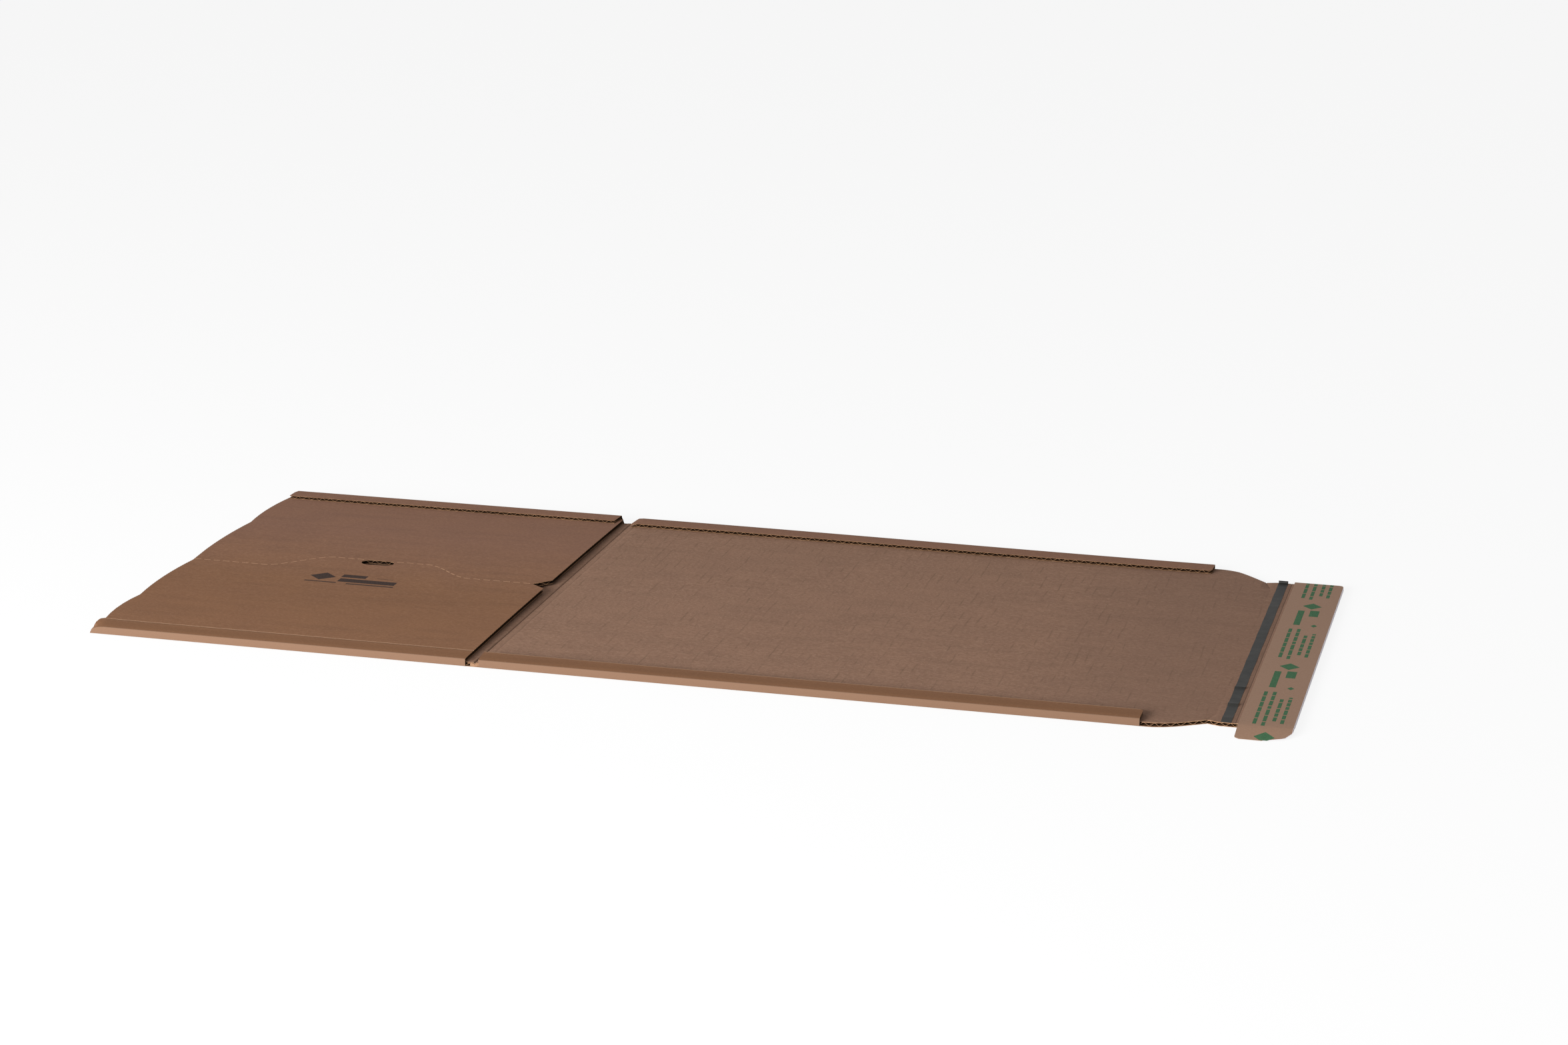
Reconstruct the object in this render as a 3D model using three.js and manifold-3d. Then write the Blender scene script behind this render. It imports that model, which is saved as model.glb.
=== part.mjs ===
// A wraparound mailer of single-wall corrugated board, lying open as it is supplied.
// Millimetres, +Z up. X runs along the mailer, Y across it and along the flutes.
import * as THREE from "three";
import { mergeVertices } from "three/addons/utils/BufferGeometryUtils.js";
import Module from "manifold-3d";

const wasm = await Module();
wasm.setup();

// The board: two liners and a fluted medium between them.
const boardThickness = 2.6;
const linerPaper = 0.4;
const mediumPaper = 0.4;
const flutePitch = 6.5;
const fluteFoot = 0.75; // half of the strip where the medium is glued to a liner

// The sheet as folded.
const sheetWidth = 352;
const pouchLength = 264;
const mouthToCrease = 6;
const wrapLength = 530;
const hingeGap = 0.3;

// The folds along the two long edges.
const foldHeight = 5.2;
const foldRadius = 0.6;
const foldFront = 1.2; // the crushed board in front of the slit between the layers
const foldReach = 6; // how far the crushed board of a fold reaches in from the edge
const foldLap = 2; // length on which a fold's outer paper is one with a liner
const foldSlit = 0.3;
const foldSkin = 0.35; // the outer paper where it laps on a liner, a little under its thickness
const foldEase = 0.6; // over which the crushed board thins to that paper
const wideFoldWall = 0.9;
const flushStep = 0.03; // a lapped paper lies this much under the board's face
const cutEdgeInset = 0.6; // a plain cut edge stands this far inside a fold's face

// The pouch's top panel.
const panelGap = 0.3; // between the two layers at the folds
const scoreFromEdge = 17;
const scoreRise = 0.2; // the panel is this much higher at the score than at the fold
const crownRise = 1.1; // and this much higher over its middle
const crownInset = 120;
const panelToFarFold = 3;
const scoreWidth = 1;
const scoreDepth = 0.2;

// The scalloped left end of the pouch: where its scallops meet, as shares of the sheet's width
// from the near edge.
const scallopShares = [0.051, 0.205, 0.455, 0.75, 0.966];
const scallopBulge = 2.6;
const scallopReach = 1.2; // the scallops stand out this far to the left of X = 0
const nearTabReach = 2; // and the tab at the near edge this far
const baseSetBack = 1;
const scallopSteps = 6;

// The glue strip folded over the far edge of the pouch.
const glueStripWidth = 16;
const glueStripSink = 0.05;
const glueStripSlant = 9;
const glueStripLeft = 3;
const glueStripCorner = 8;

// The tear line of the pouch with its finger slot, and the notch where it ends in the mouth.
const tearStartY = 163;
const tearHighY = 193.5;
const tearEndY = 169;
const tearRiseStart = 55;
const tearRiseLength = 42;
const tearFallStart = 166;
const tearFallLength = 40;
const perforationCut = 3.5;
const perforationBridge = 3.5;
const perforationWidth = 0.5;
const perforationDepth = 0.7;
const slotLength = 24;
const slotWidth = 11;
const slotCenterX = 131;
const notchDepth = 11;
const notchNearReach = 8.5;
const notchFarReach = 12;

// The flaps folded in over the wrap panel's long edges.
const flapWidth = 17;
const flapStart = 3.5; // from the crease
const flapLength = 432.5;
const flapCorner = 3;

// The closing end of the wrap panel.
const shoulderStart = 4; // from the flaps' ends
const kinkFromEnd = 54;
const kinkDepth = 2.5;
const kinkLength = 8;
const nearInset = 14;
const farInset = 25;
const kinkCutLength = 13;
const kinkCutLean = 4;
const kinkCutWidth = 0.5;
const shoulderSteps = 6;
const shoulderHollow = 0.6; // how late the shoulder swings in, from 0 to 1

// The tear strip, the adhesive strip and its release liner.
const tearStripWidth = 6.6;
const tearStripThickness = 0.25;
const tearStripFromEnd = 45.5; // its edge on the side of the pouch
const curlFromFarEdge = 1.5;
const curlRadius = 1.1;
const curlAngle = 2.4;
const curlSteps = 6;
const adhesiveWidth = 27;
const adhesiveThickness = 0.25;
const adhesiveFromEnd = 31;
const adhesiveSetBack = 4;
const linerWidth = 34.2;
const linerThickness = 0.25;
const linerFromEnd = 34.5;
const linerOverFarEdge = 3;
const linerBendFromEdge = 4;
const linerDropLength = 18;
const linerTipHeight = 0.35;
const linerCorner = 3;
const linerChamfer = 13;

// Worked out from the sizes above.
const scallopEnds = scallopShares.map((share) => share * sheetWidth);
const creaseX = pouchLength + mouthToCrease;
const endX = creaseX + wrapLength;
const flapX0 = creaseX + flapStart;
const flapX1 = flapX0 + flapLength;
const kinkX = endX - kinkFromEnd;
const liftAtFold = boardThickness + panelGap;
const liftAtScore = liftAtFold + scoreRise;
const liftAtCrown = liftAtFold + crownRise;
const crownTop = liftAtCrown + boardThickness;
const glueStripLift = liftAtFold + boardThickness - glueStripSink;
const topOfPouch = glueStripLift + boardThickness;
const flapLift = boardThickness + foldSlit;
const clear = 20; // how far a cutting block stands past what it cuts

// A closed three.js geometry as a solid.
function solidOf(geometry) {
  geometry.deleteAttribute("normal");
  geometry.deleteAttribute("uv");
  const merged = mergeVertices(geometry, 1e-4);
  return new wasm.Manifold(
    new wasm.Mesh({
      numProp: 3,
      vertProperties: new Float32Array(merged.attributes.position.array),
      triVerts: new Uint32Array(merged.index.array),
    }),
  );
}

function geometryOf(solid) {
  const mesh = solid.getMesh();
  const geometry = new THREE.BufferGeometry();
  geometry.setAttribute("position", new THREE.BufferAttribute(mesh.vertProperties, 3));
  geometry.setIndex(new THREE.BufferAttribute(mesh.triVerts, 1));
  const faceted = geometry.toNonIndexed();
  faceted.computeVertexNormals();
  return faceted;
}

function shapeOf(points) {
  return new THREE.Shape(points.map(([a, b]) => new THREE.Vector2(a, b)));
}

// An outline in X and Y, as a block between two heights.
function block(outline, bottom, top) {
  const geometry = new THREE.ExtrudeGeometry(shapeOf(outline), {
    depth: top - bottom,
    bevelEnabled: false,
  });
  geometry.translate(0, 0, bottom);
  return solidOf(geometry);
}

function rectangle(x0, x1, y0, y1) {
  return [[x0, y0], [x1, y0], [x1, y1], [x0, y1]];
}

// A section in Y and Z, drawn out along X.
function barAlongX(section, x0, x1) {
  const geometry = new THREE.ExtrudeGeometry(shapeOf(section), {
    depth: x1 - x0,
    bevelEnabled: false,
  });
  const position = geometry.attributes.position;
  for (let i = 0; i < position.count; i++) {
    const [a, b, c] = [position.getX(i), position.getY(i), position.getZ(i)];
    position.setXYZ(i, x0 + c, a, b);
  }
  return solidOf(geometry);
}

// Shapes in X and Z drawn out along Y through the given stations, each of them
// [y, how far the shape is lifted there].
function drawnAlongY(shapes, stations) {
  const steps = stations.length - 1;
  const geometry = new THREE.ExtrudeGeometry(shapes, { depth: steps, steps, bevelEnabled: false });
  const position = geometry.attributes.position;
  for (let i = 0; i < position.count; i++) {
    const [y, lift] = stations[steps - Math.round(position.getZ(i))];
    position.setXYZ(i, position.getX(i), y, position.getY(i) + lift);
  }
  return solidOf(geometry);
}

// Carries the first and the last station a little further on, so that a cut runs through.
function runThrough(stations) {
  const past = ([y0, lift0], [y1, lift1]) => {
    const t = 1 / Math.abs(y1 - y0);
    return [y0 + t * (y0 - y1), lift0 + t * (lift0 - lift1)];
  };
  const backwards = [...stations].reverse();
  return [past(stations[0], stations[1]), ...stations, past(backwards[0], backwards[1])];
}

// Corrugated board from x0 to x1 and a little past, its flutes along Y.
function corrugated(x0, x1, stations) {
  const first = Math.floor(x0 / flutePitch) - 1;
  const last = Math.ceil(x1 / flutePitch) + 1;
  const half = flutePitch / 2;
  const foot = half - fluteFoot;
  const [low, high] = [linerPaper, boardThickness - linerPaper];
  const tunnels = [];
  for (let i = first; i < last; i++) {
    const [x, next] = [i * flutePitch, i * flutePitch + half];
    tunnels.push(shapeOf([[x - foot, low], [x + foot, low], [x, high - mediumPaper]]));
    tunnels.push(shapeOf([[next - foot, high], [next, low + mediumPaper], [next + foot, high]]));
  }
  const slab = shapeOf(rectangle(first * flutePitch - half, last * flutePitch, 0, boardThickness));
  return drawnAlongY([slab], stations).subtract(drawnAlongY(tunnels, runThrough(stations)));
}

// The crushed board of a fold, as a section in Y and Z: the near fold, or its mirror image.
// outerTop is the height of the folded layer where the crushed board begins.
function foldSection(outerTop, height, edge, side) {
  const wall = (height - foldSlit) / 2;
  const slitEnd = foldReach - 2 * foldEase;
  const reach = foldReach + foldLap;
  const points = [
    [reach, 0],
    [foldRadius, 0],
    [foldRadius * 0.3, foldRadius * 0.3],
    [0, foldRadius],
    [0, height - foldRadius],
    [foldRadius * 0.35, height - foldRadius * 0.3],
    [foldRadius * 1.3, height],
    [foldReach, outerTop],
    [reach, outerTop],
    [reach, outerTop - foldSkin],
    [slitEnd + foldEase, outerTop - foldSkin],
    [slitEnd, wall + foldSlit],
    [foldFront, wall + foldSlit],
    [foldFront, wall],
    [slitEnd, wall],
    [slitEnd + foldEase, foldSkin],
    [reach, foldSkin],
  ];
  return points.map(([y, z]) => [edge + side * y, z]);
}

// The fold round the far edge of the pouch, which holds the top panel's end inside it.
function wideFoldSection(edge) {
  const reach = foldReach + foldLap;
  const wall = wideFoldWall;
  const top = topOfPouch - flushStep;
  const outer = [
    [reach, 0],
    [foldRadius, 0],
    [foldRadius * 0.3, foldRadius * 0.3],
    [0, foldRadius],
    [0, top - foldRadius * 1.6],
    [foldRadius * 0.4, top - foldRadius * 0.6],
    [foldRadius * 1.4, top],
    [reach, top],
  ];
  const inner = [
    [reach, topOfPouch - foldSkin],
    [foldReach - foldEase, topOfPouch - foldSkin],
    [foldRadius + wall, top - wall],
    [wall, top - foldRadius - wall],
    [wall, foldRadius + wall],
    [foldRadius + wall, wall],
    [foldReach - foldEase, foldSkin],
    [reach, foldSkin],
  ];
  return [...outer, ...inner].map(([y, z]) => [edge - y, z]);
}

// The pouch's scalloped left end, from the near edge to the far one.
function leftEnd(setBack) {
  const tab = setBack - nearTabReach;
  const points = [[tab, -clear], [tab, scallopEnds[0] * 0.55]];
  points.push([tab + nearTabReach * 0.2, scallopEnds[0] * 0.8]);
  points.push([tab + nearTabReach * 0.7, scallopEnds[0] * 0.95]);
  const cusp = setBack + scallopBulge - scallopReach;
  const stops = [...scallopEnds, sheetWidth];
  for (let k = 0; k + 1 < stops.length; k++) {
    for (let j = 0; j <= scallopSteps; j++) {
      const t = j / scallopSteps;
      const bulge = scallopBulge * 4 * t * (1 - t);
      if (j > 0 || k === 0) {
        points.push([cusp - bulge, stops[k] + t * (stops[k + 1] - stops[k])]);
      }
    }
  }
  points.push([cusp, sheetWidth + clear]);
  return points;
}

function smoothStep(t) {
  const s = Math.min(1, Math.max(0, t));
  return s * s * (3 - 2 * s);
}

// How far from the near edge the tear line runs at x.
function tearLineY(x) {
  const rise = smoothStep((x - tearRiseStart) / tearRiseLength);
  const fall = smoothStep((x - tearFallStart) / tearFallLength);
  return tearStartY + (tearHighY - tearStartY) * rise - (tearHighY - tearEndY) * fall;
}

// One short cut of the perforation, centred at x and turned along the line.
function perforation(x) {
  const slope = (tearLineY(x + 1) - tearLineY(x - 1)) / 2;
  const geometry = new THREE.BoxGeometry(perforationCut, perforationWidth, 2 * perforationDepth);
  geometry.rotateZ(Math.atan(slope));
  geometry.translate(x, tearLineY(x), crownTop);
  return solidOf(geometry);
}

function fingerSlot() {
  const radius = slotWidth / 2;
  const straight = slotLength / 2 - radius;
  const centerY = tearHighY - radius;
  const shape = new THREE.Shape();
  shape.absarc(slotCenterX + straight, centerY, radius, -Math.PI / 2, Math.PI / 2, false);
  shape.absarc(slotCenterX - straight, centerY, radius, Math.PI / 2, 1.5 * Math.PI, false);
  const geometry = new THREE.ExtrudeGeometry(shape, {
    depth: clear,
    curveSegments: 8,
    bevelEnabled: false,
  });
  geometry.translate(0, 0, boardThickness + panelGap / 2);
  return solidOf(geometry);
}

function notch() {
  const tipX = pouchLength - notchDepth;
  const past = pouchLength + mouthToCrease;
  return block(
    [
      [tipX, tearEndY],
      [pouchLength, tearEndY - notchNearReach],
      [past, tearEndY - notchNearReach],
      [past, tearEndY + notchFarReach],
      [pouchLength, tearEndY + notchFarReach],
    ],
    boardThickness + panelGap / 2,
    topOfPouch + clear,
  );
}

// The base layer under the pouch, up to the crease, without the edges that the folds take.
function pouchBase() {
  const outline = [
    ...leftEnd(baseSetBack).reverse(),
    [creaseX - hingeGap / 2, -clear],
    [creaseX - hingeGap / 2, sheetWidth + clear],
  ];
  const board = corrugated(0, creaseX, [[cutEdgeInset, 0], [sheetWidth - cutEdgeInset, 0]]);
  const nearFoldRoom = rectangle(-clear, pouchLength, -clear, foldReach);
  const farFoldRoom = rectangle(-clear, pouchLength, sheetWidth - foldReach, sheetWidth + clear);
  return board
    .intersect(block(outline, -clear, clear))
    .subtract(block(nearFoldRoom, -clear, clear))
    .subtract(block(farFoldRoom, -clear, clear));
}

function pouchTopPanel() {
  return corrugated(0, pouchLength, [
    [foldReach, liftAtFold],
    [scoreFromEdge, liftAtScore],
    [crownInset, liftAtCrown],
    [sheetWidth - crownInset, liftAtCrown],
    [sheetWidth - panelToFarFold, liftAtFold],
  ]);
}

// The glue strip: slanted at the mouth, with a rounded corner at the left end.
function glueStrip() {
  const [near, far] = [sheetWidth - glueStripWidth, sheetWidth - foldReach];
  const board = corrugated(0, pouchLength, [[near, glueStripLift], [far, glueStripLift]]);
  const outline = [
    [glueStripLeft + glueStripCorner, near - clear],
    [pouchLength - glueStripSlant, near - clear],
    [pouchLength - glueStripSlant, near],
    [pouchLength, sheetWidth - foldReach / 2],
    [pouchLength, sheetWidth + clear],
    [glueStripLeft, sheetWidth + clear],
    [glueStripLeft, near + glueStripCorner],
    [glueStripLeft + glueStripCorner * 0.3, near + glueStripCorner * 0.3],
    [glueStripLeft + glueStripCorner, near],
  ];
  return board.intersect(block(outline, -clear, topOfPouch + clear));
}

function buildPouch() {
  const outline = [
    ...leftEnd(0).reverse(),
    [pouchLength, -clear],
    [pouchLength, sheetWidth + clear],
  ];
  const nearFold = foldSection(liftAtFold + boardThickness - flushStep, foldHeight, 0, 1);
  let layers = pouchTopPanel()
    .add(barAlongX(nearFold, -clear, pouchLength + clear))
    .add(glueStrip())
    .add(barAlongX(wideFoldSection(sheetWidth), -clear, pouchLength + clear))
    .intersect(block(outline, -clear, topOfPouch + clear))
    .subtract(fingerSlot())
    .subtract(notch());
  const scoreTop = liftAtScore + boardThickness;
  const score = [
    [scoreFromEdge - scoreWidth, scoreTop + scoreDepth],
    [scoreFromEdge, scoreTop - scoreDepth],
    [scoreFromEdge + scoreWidth, scoreTop + scoreDepth],
  ];
  layers = layers.subtract(barAlongX(score, -clear, pouchLength + clear));
  const step = perforationCut + perforationBridge;
  const besideSlot = slotLength / 2 + perforationCut;
  for (let x = step; x < pouchLength - notchDepth - perforationCut; x += step) {
    if (Math.abs(x - slotCenterX) > besideSlot) layers = layers.subtract(perforation(x));
  }
  return layers.add(pouchBase());
}

// The cut edge of the closing end: from the flap's end it swings in to the kink, steps out a
// little and runs on to the end. It is drawn as a distance in from the long edge.
function closingEdge(inset) {
  const start = flapX1 + shoulderStart;
  const points = [[flapX1, cutEdgeInset]];
  for (let j = 0; j <= shoulderSteps; j++) {
    const t = j / shoulderSteps;
    const swing = t * t * (1 + shoulderHollow * (1 - t));
    const depth = inset + kinkDepth - cutEdgeInset;
    points.push([start + t * (kinkX - start), cutEdgeInset + depth * swing]);
  }
  points.push([kinkX + kinkLength * 0.4, inset + kinkDepth * 0.4]);
  points.push([kinkX + kinkLength, inset]);
  points.push([endX, inset]);
  return points;
}

// The short slanted score that runs in from a kink, from a little outside the edge.
function kinkScore(y, side) {
  const corner = (along, aside) => [
    kinkX + along * kinkCutLean + aside * kinkCutWidth,
    y + side * along * kinkCutLength,
  ];
  return block(
    [corner(-0.2, 0), corner(-0.2, 1), corner(1, 1), corner(1, 0)],
    boardThickness - scoreDepth,
    boardThickness + clear,
  );
}

function flap(fromY, toY) {
  const board = corrugated(flapX0, flapX1, [[fromY, flapLift], [toY, flapLift]]);
  const inner = fromY < sheetWidth / 2 ? toY : fromY;
  const side = fromY < sheetWidth / 2 ? -1 : 1;
  const outline = [
    [flapX0, inner],
    [flapX1 - flapCorner, inner],
    [flapX1 - flapCorner * 0.3, inner + side * flapCorner * 0.3],
    [flapX1, inner + side * flapCorner],
    [flapX1, inner + side * clear],
    [flapX0, inner + side * clear],
  ];
  return board.intersect(block(outline, -clear, clear));
}

function buildWrapPanel() {
  const near = closingEdge(nearInset);
  const far = closingEdge(farInset).map(([x, y]) => [x, sheetWidth - y]);
  const startX = creaseX + hingeGap / 2;
  const outline = [
    [startX, cutEdgeInset],
    ...near,
    ...far.reverse(),
    [startX, sheetWidth - cutEdgeInset],
  ];
  const nearFoldRoom = rectangle(flapX0, flapX1, -clear, foldReach);
  const farFoldRoom = rectangle(flapX0, flapX1, sheetWidth - foldReach, sheetWidth + clear);
  const board = corrugated(creaseX, endX, [[cutEdgeInset, 0], [sheetWidth - cutEdgeInset, 0]])
    .intersect(block(outline, -clear, clear))
    .subtract(block(nearFoldRoom, -clear, clear))
    .subtract(block(farFoldRoom, -clear, clear));
  const flapTop = flapLift + boardThickness - flushStep;
  return board
    .add(barAlongX(foldSection(flapTop, foldHeight, 0, 1), flapX0, flapX1))
    .add(barAlongX(foldSection(flapTop, foldHeight, sheetWidth, -1), flapX0, flapX1))
    .add(flap(foldReach, flapWidth))
    .add(flap(sheetWidth - flapWidth, sheetWidth - foldReach))
    .subtract(kinkScore(nearInset + kinkDepth, 1))
    .subtract(kinkScore(sheetWidth - farInset - kinkDepth, -1));
}

// A thin strip across the panel, its far end curling up at the board's edge.
function buildTearStrip() {
  const nearY = nearInset;
  const curlY = sheetWidth - farInset - curlFromFarEdge;
  const z = boardThickness;
  const lower = [[nearY, z]];
  const upper = [[nearY, z + tearStripThickness]];
  for (let j = 0; j <= curlSteps; j++) {
    const angle = (curlAngle * j) / curlSteps;
    const inside = curlRadius - tearStripThickness;
    lower.push([curlY + curlRadius * Math.sin(angle), z + curlRadius * (1 - Math.cos(angle))]);
    upper.push([curlY + inside * Math.sin(angle), z + curlRadius - inside * Math.cos(angle)]);
  }
  const x0 = endX - tearStripFromEnd;
  return barAlongX([...lower, ...upper.reverse()], x0, x0 + tearStripWidth);
}

function buildAdhesiveStrip() {
  const x0 = endX - adhesiveFromEnd;
  const nearY = nearInset + adhesiveSetBack;
  const farY = sheetWidth - farInset - adhesiveSetBack;
  return block(
    rectangle(x0, x0 + adhesiveWidth, nearY, farY),
    boardThickness,
    boardThickness + adhesiveThickness,
  );
}

const linerBottom = boardThickness + adhesiveThickness;
const linerBendY = nearInset - linerBendFromEdge;
const linerDrop = linerBottom - linerTipHeight;
const linerTipY = linerBendY - Math.sqrt(linerDropLength ** 2 - linerDrop ** 2);

// The release liner lies on the adhesive, and its near end hangs over the board's edge.
function buildReleaseLiner() {
  const farY = sheetWidth - farInset + linerOverFarEdge;
  const lower = [[linerTipY, linerTipHeight], [linerBendY, linerBottom], [farY, linerBottom]];
  const upper = [[farY, linerBottom + linerThickness], [linerBendY, linerBottom + linerThickness]];
  upper.push([linerTipY, linerTipHeight + linerThickness]);
  const x0 = endX - linerFromEnd;
  const x1 = x0 + linerWidth;
  const round = linerCorner * 0.3;
  const outline = [
    [x0 + linerCorner, linerTipY],
    [x1 - linerChamfer * 1.3, linerTipY],
    [x1 - linerChamfer * 0.3, linerTipY + linerChamfer * 0.4],
    [x1, linerTipY + linerChamfer],
    [x1, farY - linerCorner],
    [x1 - round, farY - round],
    [x1 - linerCorner, farY],
    [x0, farY],
    [x0, linerTipY + linerCorner],
    [x0 + round, linerTipY + round],
  ];
  return barAlongX([...lower, ...upper], x0, x1).intersect(block(outline, -clear, clear));
}

const kraft = { roughness: 0.92, metalness: 0 };
const outerKraft = new THREE.MeshStandardMaterial({ color: 0x84604a, ...kraft });
const innerKraft = new THREE.MeshStandardMaterial({ color: 0x84695a, ...kraft });
const linerKraft = new THREE.MeshStandardMaterial({ color: 0x8d7264, roughness: 0.7, metalness: 0 });
const blackTape = new THREE.MeshStandardMaterial({ color: 0x3a3936, roughness: 0.5, metalness: 0 });
const adhesive = new THREE.MeshStandardMaterial({ color: 0xc9b48e, roughness: 0.4, metalness: 0 });

function piece(name, solid, material) {
  const mesh = new THREE.Mesh(geometryOf(solid), material);
  mesh.name = name;
  return mesh;
}

const pouch = piece("pouch", buildPouch(), outerKraft);

// What swings at the crease.
const wrap = new THREE.Group();
wrap.add(piece("wrap_panel", buildWrapPanel(), innerKraft));
wrap.add(piece("tear_strip", buildTearStrip(), blackTape));
wrap.add(piece("adhesive_strip", buildAdhesiveStrip(), adhesive));
wrap.add(piece("release_liner", buildReleaseLiner(), linerKraft));

// The origin is under the middle of the whole mailer's box.
const group = new THREE.Group();
group.add(pouch, wrap);
group.position.set(-(endX - nearTabReach) / 2, -(sheetWidth + linerTipY) / 2, 0);

export default group;
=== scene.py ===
import math

import bpy
import numpy as np
from mathutils import Matrix, Vector


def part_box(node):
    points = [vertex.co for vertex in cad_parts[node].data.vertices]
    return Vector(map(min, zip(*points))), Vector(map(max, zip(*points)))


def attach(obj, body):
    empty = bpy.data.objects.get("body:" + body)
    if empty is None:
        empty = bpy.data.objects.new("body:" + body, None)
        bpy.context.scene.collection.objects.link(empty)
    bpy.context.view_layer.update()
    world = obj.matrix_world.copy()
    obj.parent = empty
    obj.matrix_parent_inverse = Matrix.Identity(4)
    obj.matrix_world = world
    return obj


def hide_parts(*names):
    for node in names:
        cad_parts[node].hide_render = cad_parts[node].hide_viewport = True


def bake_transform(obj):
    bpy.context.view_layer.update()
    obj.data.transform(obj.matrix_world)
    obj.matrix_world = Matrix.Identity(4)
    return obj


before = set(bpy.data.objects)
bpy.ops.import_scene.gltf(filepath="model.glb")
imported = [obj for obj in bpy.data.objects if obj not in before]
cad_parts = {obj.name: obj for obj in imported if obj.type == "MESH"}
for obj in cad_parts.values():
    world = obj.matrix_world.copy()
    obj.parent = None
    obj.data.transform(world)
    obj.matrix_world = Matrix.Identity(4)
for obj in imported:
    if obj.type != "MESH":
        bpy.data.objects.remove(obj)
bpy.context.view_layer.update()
mm = 0.001
leftReach = 2  # the near tab stands out this far past x = 0
origin = np.array(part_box("pouch")[0]) + np.array((leftReach, 0, 0)) * mm
print("frame loaded")


# Colours, nodes and meshes

def linearColor(hexText):
    values = [int(hexText[i:i + 2], 16) / 255 for i in (1, 3, 5)]
    return (*[v / 12.92 if v <= 0.04045 else ((v + 0.055) / 1.055) ** 2.4 for v in values], 1.0)


# Adds a node; settings are its own. Inputs go by number or name, and are values, sockets
# or nodes, whose first output is then meant.
def addNode(tree, kind, settings=None, inputs=None):
    node = tree.nodes.new(kind)
    for name, value in (settings or {}).items():
        setattr(node, name, value)
    for key, value in (inputs or {}).items():
        if isinstance(value, bpy.types.Node):
            value = value.outputs[0]
        if isinstance(value, bpy.types.NodeSocket):
            tree.links.new(value, node.inputs[key])
        else:
            node.inputs[key].default_value = value
    return node


# A geometry tree with named inputs, and their sockets.
def newTree(name, inputs):
    tree = bpy.data.node_groups.new(name, "GeometryNodeTree")
    for label, kind in {"Geometry": "Geometry", **inputs}.items():
        tree.interface.new_socket(label, in_out="INPUT", socket_type="NodeSocket" + kind)
    tree.interface.new_socket("Geometry", in_out="OUTPUT", socket_type="NodeSocketGeometry")
    return tree, addNode(tree, "NodeGroupInput").outputs


def newObject(name, vertices, edges, faces):
    mesh = bpy.data.meshes.new(name)
    mesh.from_pydata(vertices, edges, faces)
    thing = bpy.data.objects.new(name, mesh)
    bpy.context.scene.collection.objects.link(thing)
    return thing


def makeObject(name, vertices, faces, materials, smoothAngle=35):
    thing = newObject(name, [tuple(v) for v in vertices], [], [tuple(f) for f in faces])
    for material in materials:
        thing.data.materials.append(material)
    thing.data.shade_smooth()
    thing.data.set_sharp_from_angle(angle=math.radians(smoothAngle))
    return thing


# The vertices that some faces use, and those faces numbered by them.
def usedOnly(faces):
    used = sorted({corner for face in faces for corner in face})
    renumber = {old: new for new, old in enumerate(used)}
    return used, [[renumber[corner] for corner in face] for face in faces]


def meshPoints(mesh):
    flat = np.zeros(len(mesh.vertices) * 3)
    mesh.vertices.foreach_get("co", flat)
    return flat.reshape(-1, 3)


def toFrame(points):
    return np.asarray(points, float) * mm + origin


# How far values are from low to high, held between 0 and 1.
def share(values, low, high):
    return np.clip((values - low) / (high - low), 0, 1)


def smooth(values, low, high):
    t = share(values, low, high)
    return t * t * (3 - 2 * t)


# How far a rounded corner stands back at a distance from the end of its edge.
def rounding(distance, radius):
    return radius * (1 - np.sqrt(1 - (1 - share(distance, 0, radius)) ** 2))


# The board and the mailer

board = {
    "thickness": 2.6,
    "linerPaper": 0.3,
    "flutingPaper": 0.22,
    "flutingSetBack": 0.45,
    "flutePitch": 6.5,
    "fluteSteps": 8,
    "crush": 0.4,
    "crushStretch": (0.11, 0.012, 1.0),
    "mergeWithin": 0.002,
    "seed": 7,
}
mailer = {
    "width": 352,
    "pouchLength": 264,
    "creaseX": 270,
    "creaseHalf": 3,
    "endX": 799.5,
    "foldHeight": 5.2,
    "foldRadius": 0.6,
    "wideFoldRadius": 1.2,
    "foldReach": 6,
    "foldSteps": 7,
    "slitY": 2.1,
    "slitHalf": 0.12,
    "cutEdge": 0.5,
    "foldedOuter": 5.47,
    "foldedInner": 2.92,
    "lift": 1.7,
    "liftStart": (266, 280),
    "liftFade": (300, 680),
    "liftAcross": (40, 350),
    "cornerPress": 0.5,
    "pressAlong": (8, -2),
    "pressAcross": (0, 15),
}
creaseStart = mailer["creaseX"] - mailer["creaseHalf"]
creaseEnd = mailer["creaseX"] + mailer["creaseHalf"]
quarterTurn = np.linspace(0, math.pi / 2, mailer["foldSteps"])


# Materials

# The Object coordinates of a piece in millimetres.
def objectMm(tree):
    place = addNode(tree, "ShaderNodeTexCoord").outputs["Object"]
    return addNode(tree, "ShaderNodeMapping", {}, {"Vector": place, "Scale": (1 / mm, 1 / mm, 1 / mm)})


def noiseAt(tree, place, scale, detail, stretch=(1, 1, 1)):
    space = addNode(tree, "ShaderNodeMapping", {}, {"Vector": place, "Scale": stretch})
    return addNode(tree, "ShaderNodeTexNoise", {}, {"Vector": space, "Scale": scale, "Detail": detail})


# Lays a colour over another where a value goes from low to high, as strongly as top.
def laidOver(tree, base, colour, value, low=0.0, high=1.0, top=1.0):
    spread = addNode(tree, "ShaderNodeMapRange", {}, {0: value, 1: low, 2: high, 3: 0.0, 4: top})
    return addNode(tree, "ShaderNodeMix", {"data_type": "RGBA"}, {0: spread, 6: base, 7: colour}).outputs[2]


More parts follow.
